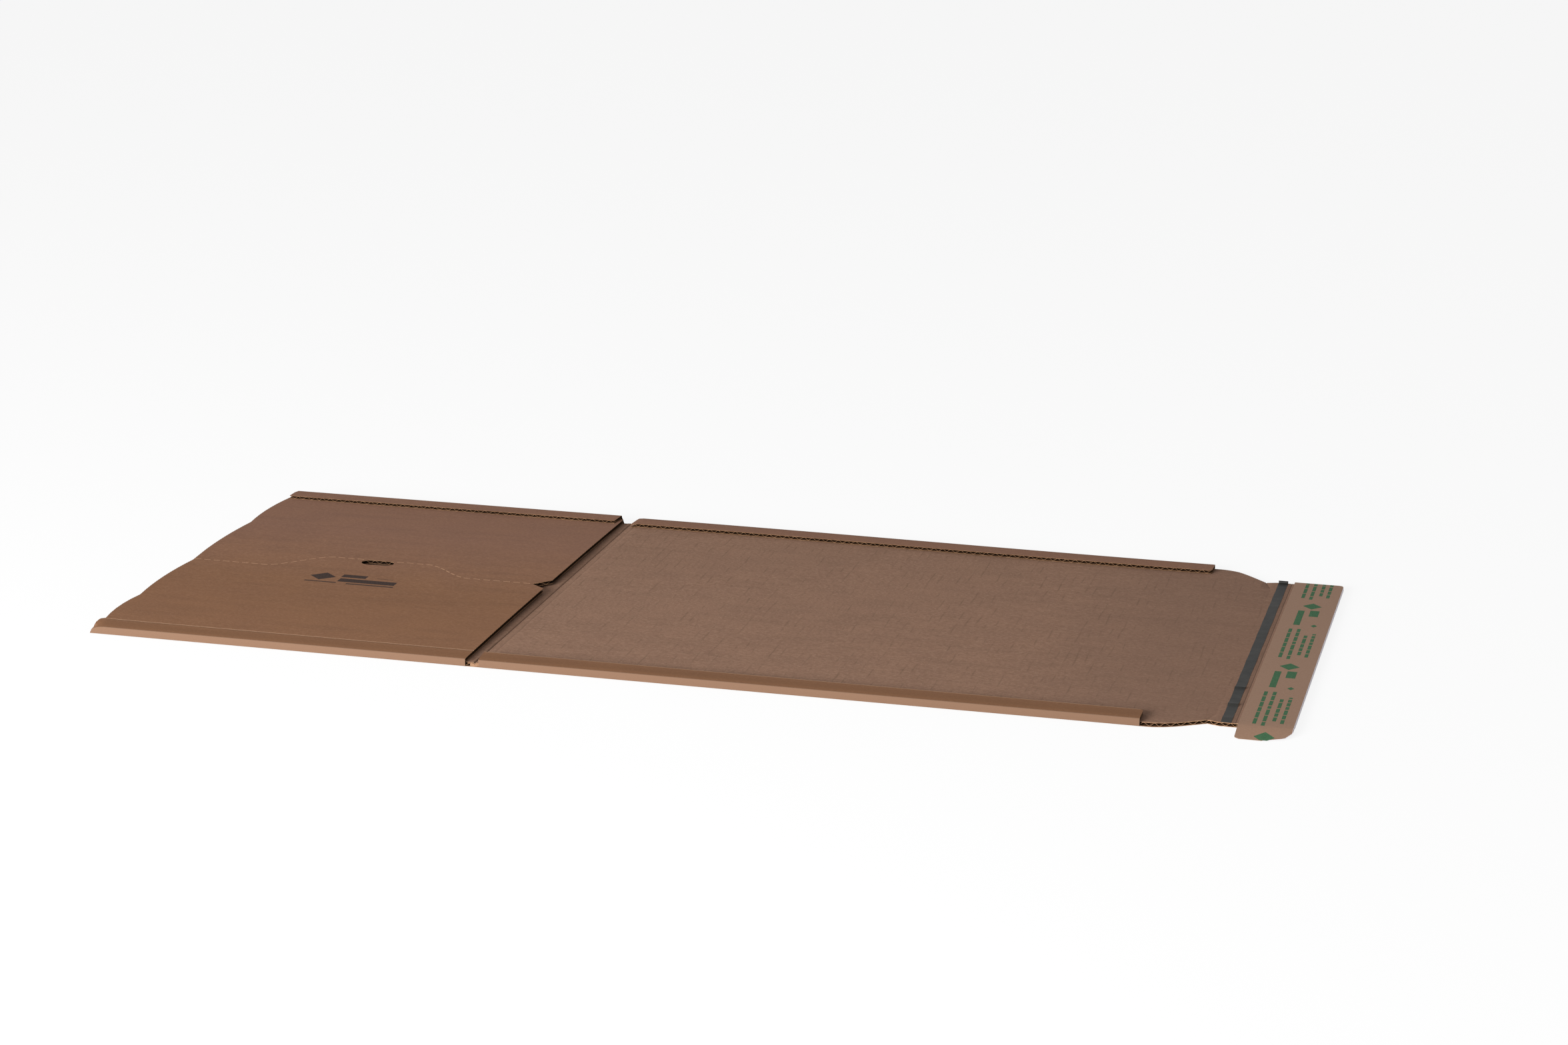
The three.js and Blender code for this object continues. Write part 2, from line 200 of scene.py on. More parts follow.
def newMaterial(name, roughness, reflection):
    material = bpy.data.materials.new(name)
    material.use_nodes = True
    shader = material.node_tree.nodes["Principled BSDF"]
    shader.inputs["Roughness"].default_value = roughness
    shader.inputs["IOR"].default_value = 1.5
    shader.inputs["Specular IOR Level"].default_value = reflection
    return material, material.node_tree, shader


# The paper's patterns as times per millimetre, detail and stretch: clouds of pulp 29 mm wide,
# streaks of 67 by 8 mm, fibres of 2 by 0.8 mm (real ones are too fine to show, so these are
# coarser), specks of bark near 1 mm, and dashes of 3 by 22 mm where the flutes show through.
paperNoise = {
    "clouds": (0.035, 3.0, (1, 1, 1)),
    "streaks": (0.05, 3.0, (0.3, 2.4, 1)),
    "fibres": (1.0, 4.0, (0.45, 1.3, 1.3)),
    "specks": (1.1, 1.0, (1, 1, 1)),
    "dashes": (1.0, 2.0, (0.33, 0.045, 0.3)),
}


# A broad tone or a narrow line laid on a paper, for its own colour and for painted light and shade: the axis
# across it, where its middle is, half its width, its strength and tone, the height it shows above, and how
# much the fibres break it.
def band(axis, at, half, strength, tone, above=-1, broken=0):
    return {"axis": axis, "at": at, "half": half, "strength": strength, "tone": tone,
            "above": above, "broken": broken}


def kraftPaper(look):
    material, tree, shader = newMaterial(look["name"], look["roughness"], look["reflection"])
    inMm = objectMm(tree)
    axes = addNode(tree, "ShaderNodeSeparateXYZ", {}, {0: inMm}).outputs
    clouds, streaks, fibres, specks, dashes = (noiseAt(tree, inMm, *values) for values in paperNoise.values())
    warm, cool, dark, pale = (linearColor(look[tone]) for tone in ("warm", "cool", "dark", "pale"))
    base = laidOver(tree, warm, cool, clouds, 0.35, 0.7)
    base = laidOver(tree, base, dark, streaks, 0.45, 0.7, look["streaks"])
    base = laidOver(tree, base, pale, fibres, 0.5, 0.75, look["fibres"])
    base = laidOver(tree, base, dark, fibres, 0.5, 0.25, look["fibres"])
    base = laidOver(tree, base, dark, specks, 0.66, 0.74, look["specks"])
    base = laidOver(tree, base, pale, specks, 0.34, 0.26, look["specks"])
    # the flutes show through as short broken dashes along them
    turn = addNode(tree, "ShaderNodeMath", {"operation": "MULTIPLY"},
                   {0: axes[0], 1: 2 * math.pi / board["flutePitch"]})
    wobble = addNode(tree, "ShaderNodeMath", {"operation": "MULTIPLY_ADD"}, {0: clouds, 1: 3.0, 2: turn})
    wave = addNode(tree, "ShaderNodeMath", {"operation": "SINE"}, {0: wobble})
    crest = addNode(tree, "ShaderNodeMapRange", {}, {0: wave, 1: 0.75, 2: 1.0, 3: 0.0, 4: 1.0})
    dashed = addNode(tree, "ShaderNodeMapRange", {}, {0: dashes, 1: 0.5, 2: 0.66, 3: 0.0, 4: look["flutes"]})
    broken = addNode(tree, "ShaderNodeMath", {"operation": "MULTIPLY"}, {0: crest, 1: dashed})
    base = laidOver(tree, base, dark, broken)
    for tone in look["bands"]:
        middle = origin[tone["axis"]] / mm + tone["at"]
        away = addNode(tree, "ShaderNodeMath", {"operation": "SUBTRACT"}, {0: axes[tone["axis"]], 1: middle})
        far = addNode(tree, "ShaderNodeMath", {"operation": "ABSOLUTE"}, {0: away})
        line = addNode(tree, "ShaderNodeMapRange", {},
                       {0: far, 1: tone["half"], 2: tone["half"] * 0.4, 3: 0.0, 4: tone["strength"]})
        high = addNode(tree, "ShaderNodeMath", {"operation": "GREATER_THAN"}, {0: axes[2], 1: tone["above"]})
        shown = addNode(tree, "ShaderNodeMath", {"operation": "MULTIPLY"}, {0: line, 1: high})
        kept = addNode(tree, "ShaderNodeMapRange", {},
                       {0: fibres, 1: 0.55, 2: 0.4, 3: 1.0, 4: 1 - tone["broken"]})
        rough = addNode(tree, "ShaderNodeMath", {"operation": "MULTIPLY"}, {0: shown, 1: kept})
        base = laidOver(tree, base, linearColor(tone["tone"]), rough)
    tree.links.new(base, shader.inputs["Base Color"])
    washboard = addNode(tree, "ShaderNodeBump", {}, {"Distance": look["washboard"] * mm, "Height": wave})
    grain = addNode(tree, "ShaderNodeBump", {},
                    {"Distance": look["grain"] * mm, "Height": fibres, "Normal": washboard})
    tree.links.new(grain.outputs[0], shader.inputs["Normal"])
    return material


# A smoother paper, film or ink: two close tones in fine mottle and one bump.
def plainPaper(name, colour, pale, roughness, reflection, scale=0.6, grain=0.01):
    material, tree, shader = newMaterial(name, roughness, reflection)
    mottle = noiseAt(tree, objectMm(tree), scale, 4.0)
    colours = laidOver(tree, linearColor(colour), linearColor(pale), mottle, 0.35, 0.68)
    tree.links.new(colours, shader.inputs["Base Color"])
    bump = addNode(tree, "ShaderNodeBump", {}, {"Distance": grain * mm, "Height": mottle})
    tree.links.new(bump.outputs[0], shader.inputs["Normal"])
    return material


# brown liner, matt and warm, with a painted highlight as a pale line along the score; broad tones make it
# darker towards the near fold and greyer towards the far one, with painted shade on the near strip and the
# near fold's face
outerKraft = kraftPaper({
    "name": "kraftLinerOutside", "warm": "#7f5a40", "cool": "#7b573f", "dark": "#5f4330", "pale": "#9c785e",
    "streaks": 0.25, "fibres": 0.4, "specks": 0.45, "flutes": 0.0, "washboard": 0.002, "grain": 0.02,
    "roughness": 0.92, "reflection": 0.2,
    "bands": [
        band(1, 60, 120, 0.3, "#704d35", above=4.5),
        # painted shade: darker on the sloped strip between the near fold and the score
        band(1, 4, 14, 0.4, "#6b482c", above=4.5),
        band(1, 340, 200, 0.3, "#7e5f58", above=4.5),
        # painted highlight: a pale line along the score
        band(1, 17, 0.55, 0.7, "#b9977a", above=4.5, broken=0.15),
        # painted shade on the near fold's upright face
        band(1, 0, 1.0, 0.95, "#6b5241", above=0.3),
    ],
})
# the greyer inner liner, with painted shade as dark lines in the grooves where the sheet is creased and
# scored, and painted shade darkening it at the closing end
innerKraft = kraftPaper({
    "name": "kraftLinerInside", "warm": "#866653", "cool": "#816250", "dark": "#5e4837", "pale": "#a48670",
    "streaks": 0.15, "fibres": 0.42, "specks": 0.5, "flutes": 0.4, "washboard": 0.004, "grain": 0.025,
    "roughness": 0.92, "reflection": 0.2,
    "bands": [
        # painted shade in the grooves of the crease, the second score and the score beside the release paper
        band(0, 270, 0.5, 0.7, "#4a3527", above=1, broken=0.5),
        band(0, 275.5, 0.4, 0.4, "#5a4434", above=1, broken=0.5),
        band(0, 763.8, 0.5, 0.95, "#3d2a1e", above=1, broken=0.4),
        # painted shade: darker towards the closing end, where less light falls
        band(0, 760, 150, 0.35, "#6e5446", above=1),
    ],
})
# torn and cut paper edges, paler and rougher than the faces; painted shade darkens them towards both long
# edges and round the finger slot and the notch
cutKraft = kraftPaper({
    "name": "kraftCutEdge", "warm": "#a07b5b", "cool": "#8c694c", "dark": "#5e4330", "pale": "#c8a684",
    "streaks": 0.2, "fibres": 0.6, "specks": 0.5, "flutes": 0.0, "washboard": 0.0, "grain": 0.06,
    "roughness": 0.95, "reflection": 0.15,
    "bands": [
        # painted shade on the cut edges along the far edge, round the slot and the notch, and along the near
        # edge
        band(1, 342, 40, 0.58, "#4c3524"),
        band(1, 188, 20, 0.6, "#3f2c1e"),
        band(1, 1, 8, 0.6, "#745846"),
    ],
})
# the wavy middle paper, darker than the liners, partly its own colour and partly painted shade in the flute
# cells, with painted shade darkest round the finger slot and the notch
fluting = kraftPaper({
    "name": "recycledFluting", "warm": "#5a3f2a", "cool": "#4c3523", "dark": "#2c1d13", "pale": "#735338",
    "streaks": 0.2, "fibres": 0.4, "specks": 0.4, "flutes": 0.0, "washboard": 0.0, "grain": 0.05,
    "roughness": 0.95, "reflection": 0.1,
    # painted shade round the finger slot and the notch
    "bands": [band(1, 188, 20, 0.75, "#21160e")],
})
# satin polypropylene tape, nearly black, that catches a soft light on its wrinkles
tapeBlack = plainPaper("blackTearTape", "#1d1d1b", "#2c2b28", 0.42, 0.25, 0.12, 0.15)
# calendered release paper, smoother than the liner, with a pale cool edge where its back shows, made paler as
# painted light on the board's shaded end
releaseKraft = plainPaper("siliconeReleaseKraft", "#896a55", "#8f705b", 0.6, 0.35, 0.9, 0.012)
releaseEdge = plainPaper("releaseBackWithPaintedLight", "#cdc2cb", "#d8cdd5", 0.45, 0.5)
# raised fibres beside the perforation, paler than the liner
burrFibres = plainPaper("perforationBurr", "#b08a6d", "#a17b60", 0.95, 0.1)
# painted shade: nearly black paper standing for the shaded inside of a flute
flutePaintedShade = plainPaper("paintedFluteShade", "#21160e", "#2d1f14", 0.95, 0.05)
# flat printing inks, a little patchy where the paper is rough
greenInk = plainPaper("greenPrint", "#305538", "#43694a", 0.75, 0.2, 1.4)
darkInk = plainPaper("darkPrint", "#2b211d", "#463630", 0.8, 0.15, 1.2)
# glossy amber glue
tackyAdhesive = plainPaper("clearAdhesive", "#c2ad88", "#cbb793", 0.25, 0.5)
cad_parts["adhesive_strip"].material_slots[0].material = tackyAdhesive
print("materials made")


# The sheet: cut flat, its three papers laid up, then folded

# One layer of the board on a flat grid: a liner if the wave is flat, the fluting otherwise.
def layerTree():
    sizes = dict.fromkeys(("Flute pitch", "Wave height", "Level", "Paper thickness", "Crush"), "Float")
    papers = dict.fromkeys(("Lower face", "Upper face", "Cut edge"), "Material")
    tree, given = newTree("boardLayer", {**sizes, "Seed": "Int", **papers})
    place = addNode(tree, "GeometryNodeInputPosition")
    x = addNode(tree, "ShaderNodeSeparateXYZ", {}, {0: place})
    squeezed = addNode(tree, "ShaderNodeVectorMath", {"operation": "MULTIPLY"},
                       {0: place, 1: board["crushStretch"]})
    unruly = addNode(tree, "ShaderNodeTexNoise", {"noise_dimensions": "4D"},
                     {"Vector": squeezed, "W": given["Seed"], "Scale": 1.0, "Detail": 1.0})
    centred = addNode(tree, "ShaderNodeMath", {"operation": "SUBTRACT"}, {0: unruly, 1: 0.5})
    shift = addNode(tree, "ShaderNodeMath", {"operation": "MULTIPLY"}, {0: centred, 1: given["Crush"]})
    turns = addNode(tree, "ShaderNodeMath", {"operation": "DIVIDE"}, {0: x, 1: given["Flute pitch"]})
    moved = addNode(tree, "ShaderNodeMath", {"operation": "ADD"}, {0: turns, 1: shift})
    angle = addNode(tree, "ShaderNodeMath", {"operation": "MULTIPLY"}, {0: moved, 1: 2 * math.pi})
    wave = addNode(tree, "ShaderNodeMath", {"operation": "COSINE"}, {0: angle})
    unit = addNode(tree, "ShaderNodeMath", {"operation": "MULTIPLY_ADD"}, {0: wave, 1: 0.5, 2: 0.5})
    high = addNode(tree, "ShaderNodeMath", {"operation": "MULTIPLY_ADD"},
                   {0: unit, 1: given["Wave height"], 2: given["Level"]})
    lift = addNode(tree, "ShaderNodeCombineXYZ", {}, {2: high})
    waved = addNode(tree, "GeometryNodeSetPosition", {}, {"Geometry": given["Geometry"], "Offset": lift})
    up = addNode(tree, "ShaderNodeCombineXYZ", {}, {2: given["Paper thickness"]})
    raised = addNode(tree, "GeometryNodeExtrudeMesh", {},
                     {"Mesh": waved, "Offset": up, "Offset Scale": 1.0, "Individual": False})
    edged = addNode(tree, "GeometryNodeSetMaterial", {},
                    {"Geometry": raised.outputs["Mesh"], "Material": given["Cut edge"]})
    topped = addNode(tree, "GeometryNodeSetMaterial", {},
                     {"Geometry": edged, "Selection": raised.outputs["Top"], "Material": given["Upper face"]})
    under = addNode(tree, "GeometryNodeFlipFaces", {}, {"Mesh": waved})
    floored = addNode(tree, "GeometryNodeSetMaterial", {},
                      {"Geometry": under, "Material": given["Lower face"]})
    both = addNode(tree, "GeometryNodeJoinGeometry")
    tree.links.new(topped.outputs[0], both.inputs[0])
    tree.links.new(floored.outputs[0], both.inputs[0])
    closed = addNode(tree, "GeometryNodeMergeByDistance", {},
                     {"Geometry": both, "Distance": board["mergeWithin"]})
    real = addNode(tree, "GeometryNodeRealizeInstances", {}, {"Geometry": closed})
    addNode(tree, "NodeGroupOutput", {}, {0: real})
    return tree


boardLayer = layerTree()


# Runs a tree on an object and returns the result as a plain mesh.
def runTree(thing, tree, values):
    modifier = thing.modifiers.new(tree.name, "NODES")
    modifier.node_group = tree
    for item in tree.interface.items_tree:
        if item.in_out == "INPUT" and item.name in values:
            modifier[item.identifier] = values[item.name]
    evaluated = thing.evaluated_get(bpy.context.evaluated_depsgraph_get())
    mesh = bpy.data.meshes.new_from_object(evaluated)
    thing.modifiers.remove(modifier)
    return mesh


# A flat grid of quads from rows and columns of points; points that meet become one.
def gridMesh(name, xs, ss, active):
    points = np.stack([xs.ravel(), ss.ravel()], 1)
    _, first, where = np.unique(np.round(points, 3), axis=0, return_index=True, return_inverse=True)
    where = where.reshape(xs.shape)
    faces = []
    for i, j in zip(*np.nonzero(active)):
        corners = [where[i, j], where[i, j + 1], where[i + 1, j + 1], where[i + 1, j]]
        corners = [c for k, c in enumerate(corners) if c != corners[k - 1]]
        if len(set(corners)) == len(corners) > 2:
            faces.append(corners)
    used, faces = usedOnly(faces)
    return newObject(name, [(*points[first[k]], 0) for k in used], [], faces)


# The fold from its upper layer down to the base, as rows of outer y, z and inner y, z.
def foldKeys(edge, side):
    height, radius, reach = mailer["foldHeight"], mailer["foldRadius"], mailer["foldReach"]
    slitY, slitZ, slitHalf = mailer["slitY"], height / 2, mailer["slitHalf"]
    top, under = mailer["foldedOuter"], mailer["foldedInner"]
    keys = []
    for t in np.linspace(0, 1, mailer["foldSteps"] + 1)[:-1]:
        rise = math.sin((1 - t) * math.pi / 2)
        keys.append((reach + (radius - reach) * t, height + (top - height) * rise,
                     reach + (slitY - reach) * t, slitZ + slitHalf + (under - slitZ - slitHalf) * (1 - t)))
    for a in quarterTurn:
        keys.append((radius - radius * math.sin(a), height - radius + radius * math.cos(a),
                     slitY, slitZ + slitHalf * (1 - a * 2 / math.pi)))
    for a in quarterTurn:
        keys.append((radius - radius * math.cos(a), radius - radius * math.sin(a),
                     slitY, slitZ - slitHalf * a * 2 / math.pi))
    keys.append((reach, 0, reach, board["thickness"]))
    return [(edge + side * a, b, edge + side * c, d) for a, b, c, d in keys]


# A path that a sheet is folded along: its keys and how far each is along the outer face,
# counted so that it is y at the flat key.
class FoldPath:
    def __init__(self, keys, flatKey, thickness):
        self.keys = np.array(keys, float)
        self.thickness = thickness
        steps = np.hypot(*(self.keys[1:, :2] - self.keys[:-1, :2]).T)
        self.s = np.concatenate([[0], np.cumsum(steps)])
        self.s += self.keys[flatKey, 0] - self.s[flatKey]

    def folded(self, points):
        deep = points[:, 2] / self.thickness
        at = [np.interp(points[:, 1], self.s, self.keys[:, k]) for k in range(4)]
        return np.stack([points[:, 0], at[0] + (at[2] - at[0]) * deep, at[1] + (at[3] - at[1]) * deep], 1)


# Beside the crease the far side of the wrap stands a little off the floor, and the pouch's
# near left corner is pressed flatter.
def settled(points):
    x, y, z = points.T
    rise = smooth(x, *mailer["liftStart"]) * (1 - smooth(x, *mailer["liftFade"]))
    rise = rise * smooth(y, *mailer["liftAcross"])
    atCorner = share(x, *mailer["pressAlong"]) ** 2 * (1 - smooth(y, *mailer["pressAcross"]))
    return np.stack([x, y, z * (1 - mailer["cornerPress"] * atCorner) + mailer["lift"] * rise], 1)


# Lays up the three papers on flat grids, presses the scores, folds the sheet and joins it all.
def layUp(name, linerGrid, flutingGrid, path, outside, inside, press=None, core=board["flutingPaper"]):
    paper = board["linerPaper"]
    gap = board["thickness"] - 2 * paper
    layers = [
        (linerGrid, 0, 0, paper, (outside, fluting, cutKraft)),
        (flutingGrid, paper, gap - core, core, (fluting, fluting, cutKraft)),
        (linerGrid, board["thickness"] - paper, 0, paper, (fluting, inside, cutKraft)),
    ]
    vertices, faces, materials, slots = [], [], [outside, inside, fluting, cutKraft], []
    for grid, level, wave, thickness, (lower, upper, edge) in layers:
        mesh = runTree(grid, boardLayer, {
            "Flute pitch": board["flutePitch"], "Wave height": float(wave), "Level": float(level),
            "Paper thickness": float(thickness), "Crush": board["crush"], "Seed": board["seed"],
            "Lower face": lower, "Upper face": upper, "Cut edge": edge,
        })
        flat = meshPoints(mesh)
        if press:
            flat[:, 2] *= 1 - press(flat[:, 0], flat[:, 1]) / board["thickness"]
        start = sum(len(v) for v in vertices)
        vertices.append(settled(path.folded(flat)))
        named = [materials.index(m) for m in mesh.materials]
        for polygon in mesh.polygons:
            faces.append([start + v for v in polygon.vertices])
            slots.append(named[polygon.material_index])
    thing = makeObject(name, toFrame(np.concatenate(vertices)), faces, materials)
    thing.data.polygons.foreach_set("material_index", slots)
    for grid in {linerGrid, flutingGrid}:
        bpy.data.objects.remove(grid)
    print(name, len(thing.data.polygons), "faces")
    return thing


# How deep a groove of a half width presses the sheet at a distance from its middle.
def groove(distance, halfWidth, depth):
    return depth * np.clip(1 - np.abs(distance) / halfWidth, 0, 1)


# Where the fluting is drawn: an eighth of a flute apart.
def fluteColumns(start, end):
    step = board["flutePitch"] / board["fluteSteps"]
    return np.append(np.arange(start, end, step), end)


# The pouch

pouch = {
    "scallopShares": (0.051, 0.205, 0.455, 0.75, 0.966),
    "scallopBulge": 2.6,
    "scallopReach": 1.2,
    "tabShares": (0.55, 0.8, 0.95),
    "tabSetBack": (0, 0, 0.2, 0.7),
    "baseSetBack": 1,
    "onBase": (8, 350),
    "slotCenter": (131, 188),
    "slotLength": 24,
    "slotWidth": 11,
    "slotStraight": 20,
    "openRows": (160.4, 196),
    "notchTip": (253, 169),
    "notchReach": (8.5, 12),
    "scoreAt": 17,
    "scoreRise": 0.2,
    "scoreDepth": 0.16,
    "scoreHalf": 0.7,
    "crownFrom": 120,
    "crownTop": 6.6,
    "crownFarReach": 117,
    "crownRows": (336, 320, 300, 280, 260, 232, 200, 176, 150, 120, 100, 80, 60, 40, 26),
    "panelEnd": 349,
    "panelEndTop": 5.5,
    "nearRows": (16.6, 14.4, 10, 6),
    "baseRows": (18, 338),
    "farFoldInside": 2.2,
    "farFoldTopRadius": 1.7,
    "farFoldInner": ((2.1, 0.6), (5.0, 0.4)),
    "stripWidth": 16,
    "stripTop": 8.03,
    "stripSink": 0.02,
    "stripUnder": 5.62,
    "stripEase": 4,
    "stripSteps": 6,
    "stripSlant": 1,
    "stripRight": 2,
    "stripCorner": 5,
    "stripLeft": 2.4,
    "foldEnd": 1.6,
    "foldEndAcross": (1, 9),
    "columns": (-3, 0, 1.5, 3, 5, 8, 12, 30, 55, 70, 85, 100, 112, 151, 170, 190, 210, 230, 253, 258.5, 264),
    "linerRowStep": 9,
    "flutingRowStep": 27,
}


def scallopX(y):
    width = mailer["width"]
    stops = [part * width for part in pouch["scallopShares"]] + [width]
    cusp = pouch["scallopBulge"] - pouch["scallopReach"]
    ys = [0] + [stops[0] * part for part in pouch["tabShares"]]
    xs = [-leftReach + leftReach * part for part in pouch["tabSetBack"]]
    for low, high in zip(stops, stops[1:]):
        for t in np.linspace(0, 1, 13):
            if ys[-1] < low + t * (high - low):
                ys.append(low + t * (high - low))
                xs.append(cusp - pouch["scallopBulge"] * 4 * t * (1 - t))
    return np.interp(y, ys, xs)


def pouchPath():
    width, thickness, crown = mailer["width"], board["thickness"], pouch["crownTop"]
    score, half, depth = pouch["scoreAt"], pouch["scoreHalf"], pouch["scoreDepth"]
    end, endTop = pouch["panelEnd"], pouch["panelEndTop"]
    scoreTop = mailer["foldedOuter"] + pouch["scoreRise"]
    keys = [(end, endTop, end, endTop - thickness)]
    for y in pouch["crownRows"]:
        nearSide = y < width / 2 + 1
        along = (y - score) / (pouch["crownFrom"] - score) if nearSide else (end - y) / pouch["crownFarReach"]
        rise = math.sin(min(1, along) * math.pi / 2)
        low = scoreTop if nearSide else endTop
        keys.append((y, low + (crown - low) * rise, y, low - thickness + (crown - low) * rise))
    for y, pressed in ((score + half, 0), (score, depth), (score - half, 0)):
        keys.append((y, scoreTop - pressed, y, scoreTop - thickness))
    keys += foldKeys(0, 1)
    flatKey = len(keys) - 1
    radius, topRadius, top = mailer["wideFoldRadius"], pouch["farFoldTopRadius"], pouch["stripTop"]
    reach, inside = width - mailer["foldReach"], width - pouch["farFoldInside"]
    (lowZ, lowRise), (highZ, highRise) = pouch["farFoldInner"]
    keys.append((reach, 0, reach, thickness))
    for a in quarterTurn:
        keys.append((width - radius + radius * math.sin(a), radius - radius * math.cos(a),
                     inside, lowZ + lowRise * a))
    for a in np.linspace(0, math.pi / 2, mailer["foldSteps"] + 1):
        keys.append((width - topRadius + topRadius * math.cos(a), top - topRadius + topRadius * math.sin(a),
                     inside, highZ + highRise * a))
    for y in (reach, reach - pouch["stripEase"], width - pouch["stripWidth"]):
        keys.append((y, top - pouch["stripSink"], y, pouch["stripUnder"]))
    return FoldPath(keys, flatKey, thickness), flatKey


pouchFold, pouchFlat = pouchPath()


def panelS(y):
    return np.interp(-np.asarray(y, float), -pouchFold.keys[:pouchFlat, 0], pouchFold.s[:pouchFlat])


# How far the slot and the notch reach to each side of their middle line, and where that runs.
def openingRows(x):
    cx, cy = pouch["slotCenter"]
    tipX, tipY = pouch["notchTip"]
    radius = pouch["slotWidth"] / 2
    beyond = np.clip(np.abs(x - cx) - (pouch["slotLength"] / 2 - radius), 0, radius)
    slot = np.sqrt(np.maximum(0, radius ** 2 - beyond ** 2))
    flare = share(x, tipX, mailer["pouchLength"])
    centre = np.interp(x, [cx + pouch["slotStraight"], tipX], [cy, tipY])
    return centre - slot - flare * pouch["notchReach"][0], centre + slot + flare * pouch["notchReach"][1]


# The pouch's part of the sheet as rows from the panel's free edge round to the glue strip's;
# an inset keeps the fluting back from every cut.
def pouchGrid(name, columns, rowStep, inset):
    width, length, cut, s = mailer["width"], mailer["pouchLength"], mailer["cutEdge"], pouchFold.s
    stops = [part * width for part in pouch["scallopShares"]][::-1]
    panel = [pouch["panelEnd"], stops[-1], *pouch["nearRows"]]
    for low, high in zip(stops, stops[1:]):
        panel += list(np.linspace(low, high, max(2, int((low - high) / rowStep)))[:-1])
    openLow, openHigh = pouch["openRows"]
    scoreRows = {round(pouch["scoreAt"] + side * pouch["scoreHalf"], 2) for side in (-1, 0, 1)}
    panel = sorted({round(y, 2) for y in panel if not openLow < y < openHigh} | scoreRows, reverse=True)
    low, high = openingRows(columns)
    gap = inset * (high > low + 0.01)
    rows = []
    for y in panel:
        rows.append(np.full(len(columns), float(panelS(y))))
        if y == min(v for v in panel if v >= openHigh):
            openRow = len(rows)
            rows += [panelS(high + gap), panelS(low - gap)]
    foldS = s[pouchFlat - 3 * mailer["foldSteps"] + 1:pouchFlat + 1]
    below = [at for at in foldS if at > rows[-1][0] + 0.01]
    baseLow, baseHigh = pouch["baseRows"]
    below += [*np.linspace(baseLow, baseHigh, int((baseHigh - baseLow) / rowStep)),
              width - mailer["foldReach"]]
    below += [*s[pouchFlat + 2:-1], *np.linspace(s[-2], s[-1] - inset, pouch["stripSteps"])[1:]]
    rows += [np.full(len(columns), float(at)) for at in below]
    ss = np.array(rows)
    xs = np.tile(columns, (len(rows), 1))
    at = pouchFold.folded(np.stack([xs.ravel(), ss.ravel(), 0 * xs.ravel()], 1))
    y, z = at[:, 1].reshape(xs.shape), at[:, 2].reshape(xs.shape)
    onBase = (ss > pouch["onBase"][0]) & (ss < pouch["onBase"][1])
    onFarFold = ss > s[pouchFlat + 1 + mailer["foldSteps"]]
    left = scallopX(y) + pouch["baseSetBack"] * onBase + inset
    left = np.where(onFarFold, pouch["stripLeft"] + rounding(width - y, pouch["stripCorner"]) + inset, left)
    worn = pouch["foldEnd"] * (z / mailer["foldHeight"]) ** 2 * (1 - smooth(y, *pouch["foldEndAcross"]))
    left = np.where(onBase, left, left + worn)
    right = length - inset - pouch["stripRight"] * onFarFold - pouch["stripSlant"] * share(ss, s[-4], s[-1])
    baseRow = (ss > cut - 0.01) & (ss < width - cut + 0.01)
    right = np.where(baseRow, creaseStart, right)
    xs = np.clip(xs, left, right)
    active = np.ones((len(rows) - 1, len(columns) - 1), bool)
    active[openRow] = False
    past = (columns[:-1] + columns[1:]) / 2 > length
    middle = (ss[:-1] + ss[1:]) / 2
    onFlat = (middle > cut) & (middle < width - cut)
    active &= onFlat[:, :-1] | ~past
    return gridMesh(name, xs, ss, active)


def pouchColumns():
    cx, radius = pouch["slotCenter"][0], pouch["slotWidth"] / 2
    arc = [pouch["slotLength"] / 2 - radius + radius * math.sin(a) for a in quarterTurn]
    around = [cx - d for d in arc] + [cx + d for d in arc]
    return np.array(sorted({*pouch["columns"], creaseStart, *around}))


pouchBoard = layUp(
    "pouch_board",
    pouchGrid("pouchLiner", pouchColumns(), pouch["linerRowStep"], 0),
    pouchGrid("pouchFluting", fluteColumns(-board["flutePitch"], creaseStart), pouch["flutingRowStep"],
              board["flutingSetBack"]),
    pouchFold, outerKraft, innerKraft,
)
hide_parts("pouch")
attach(pouchBoard, "pouch_body")


# The wrap panel

wrap = {
    "flapX0": 273.5,
    "farFlapX0": 276,
    "flapLean": 2.2,
    "flapX1": 706,
    "flapWidth": 17,
    "flapCorner": 3,
    "cornerShares": (1, 0.75, 0.5, 0.3, 0.15, 0.05, 0),
    "shoulderStart": 4,
    "shoulderHollow": 0.6,
    "kinkX": 746,
    "kinkLength": 8,
    "kinkDepth": 2.5,
    "kinkTurn": 0.4,
    "nearInset": 14,
    "farInset": 25,
    "kinkScore": 13,
    "kinkLean": 4,
    "secondScoreX": 275.5,
    "endScoreX": 763.4,
    "scoreHalf": 0.6,
    "scoreDepth": 0.22,
    "secondScoreShare": 0.6,
    "endScoreShare": 0.7,
    "underFlap": 18,
    "rows": (90, 140, 176, 210, 260),
    "columns": (279, 282, 290, *range(300, 700, 20), *range(709, 745, 3), 752, 754, 758, 775, 788),
}
kinkNear = wrap["nearInset"] + wrap["kinkDepth"]
kinkFar = mailer["width"] - wrap["farInset"] - wrap["kinkDepth"]


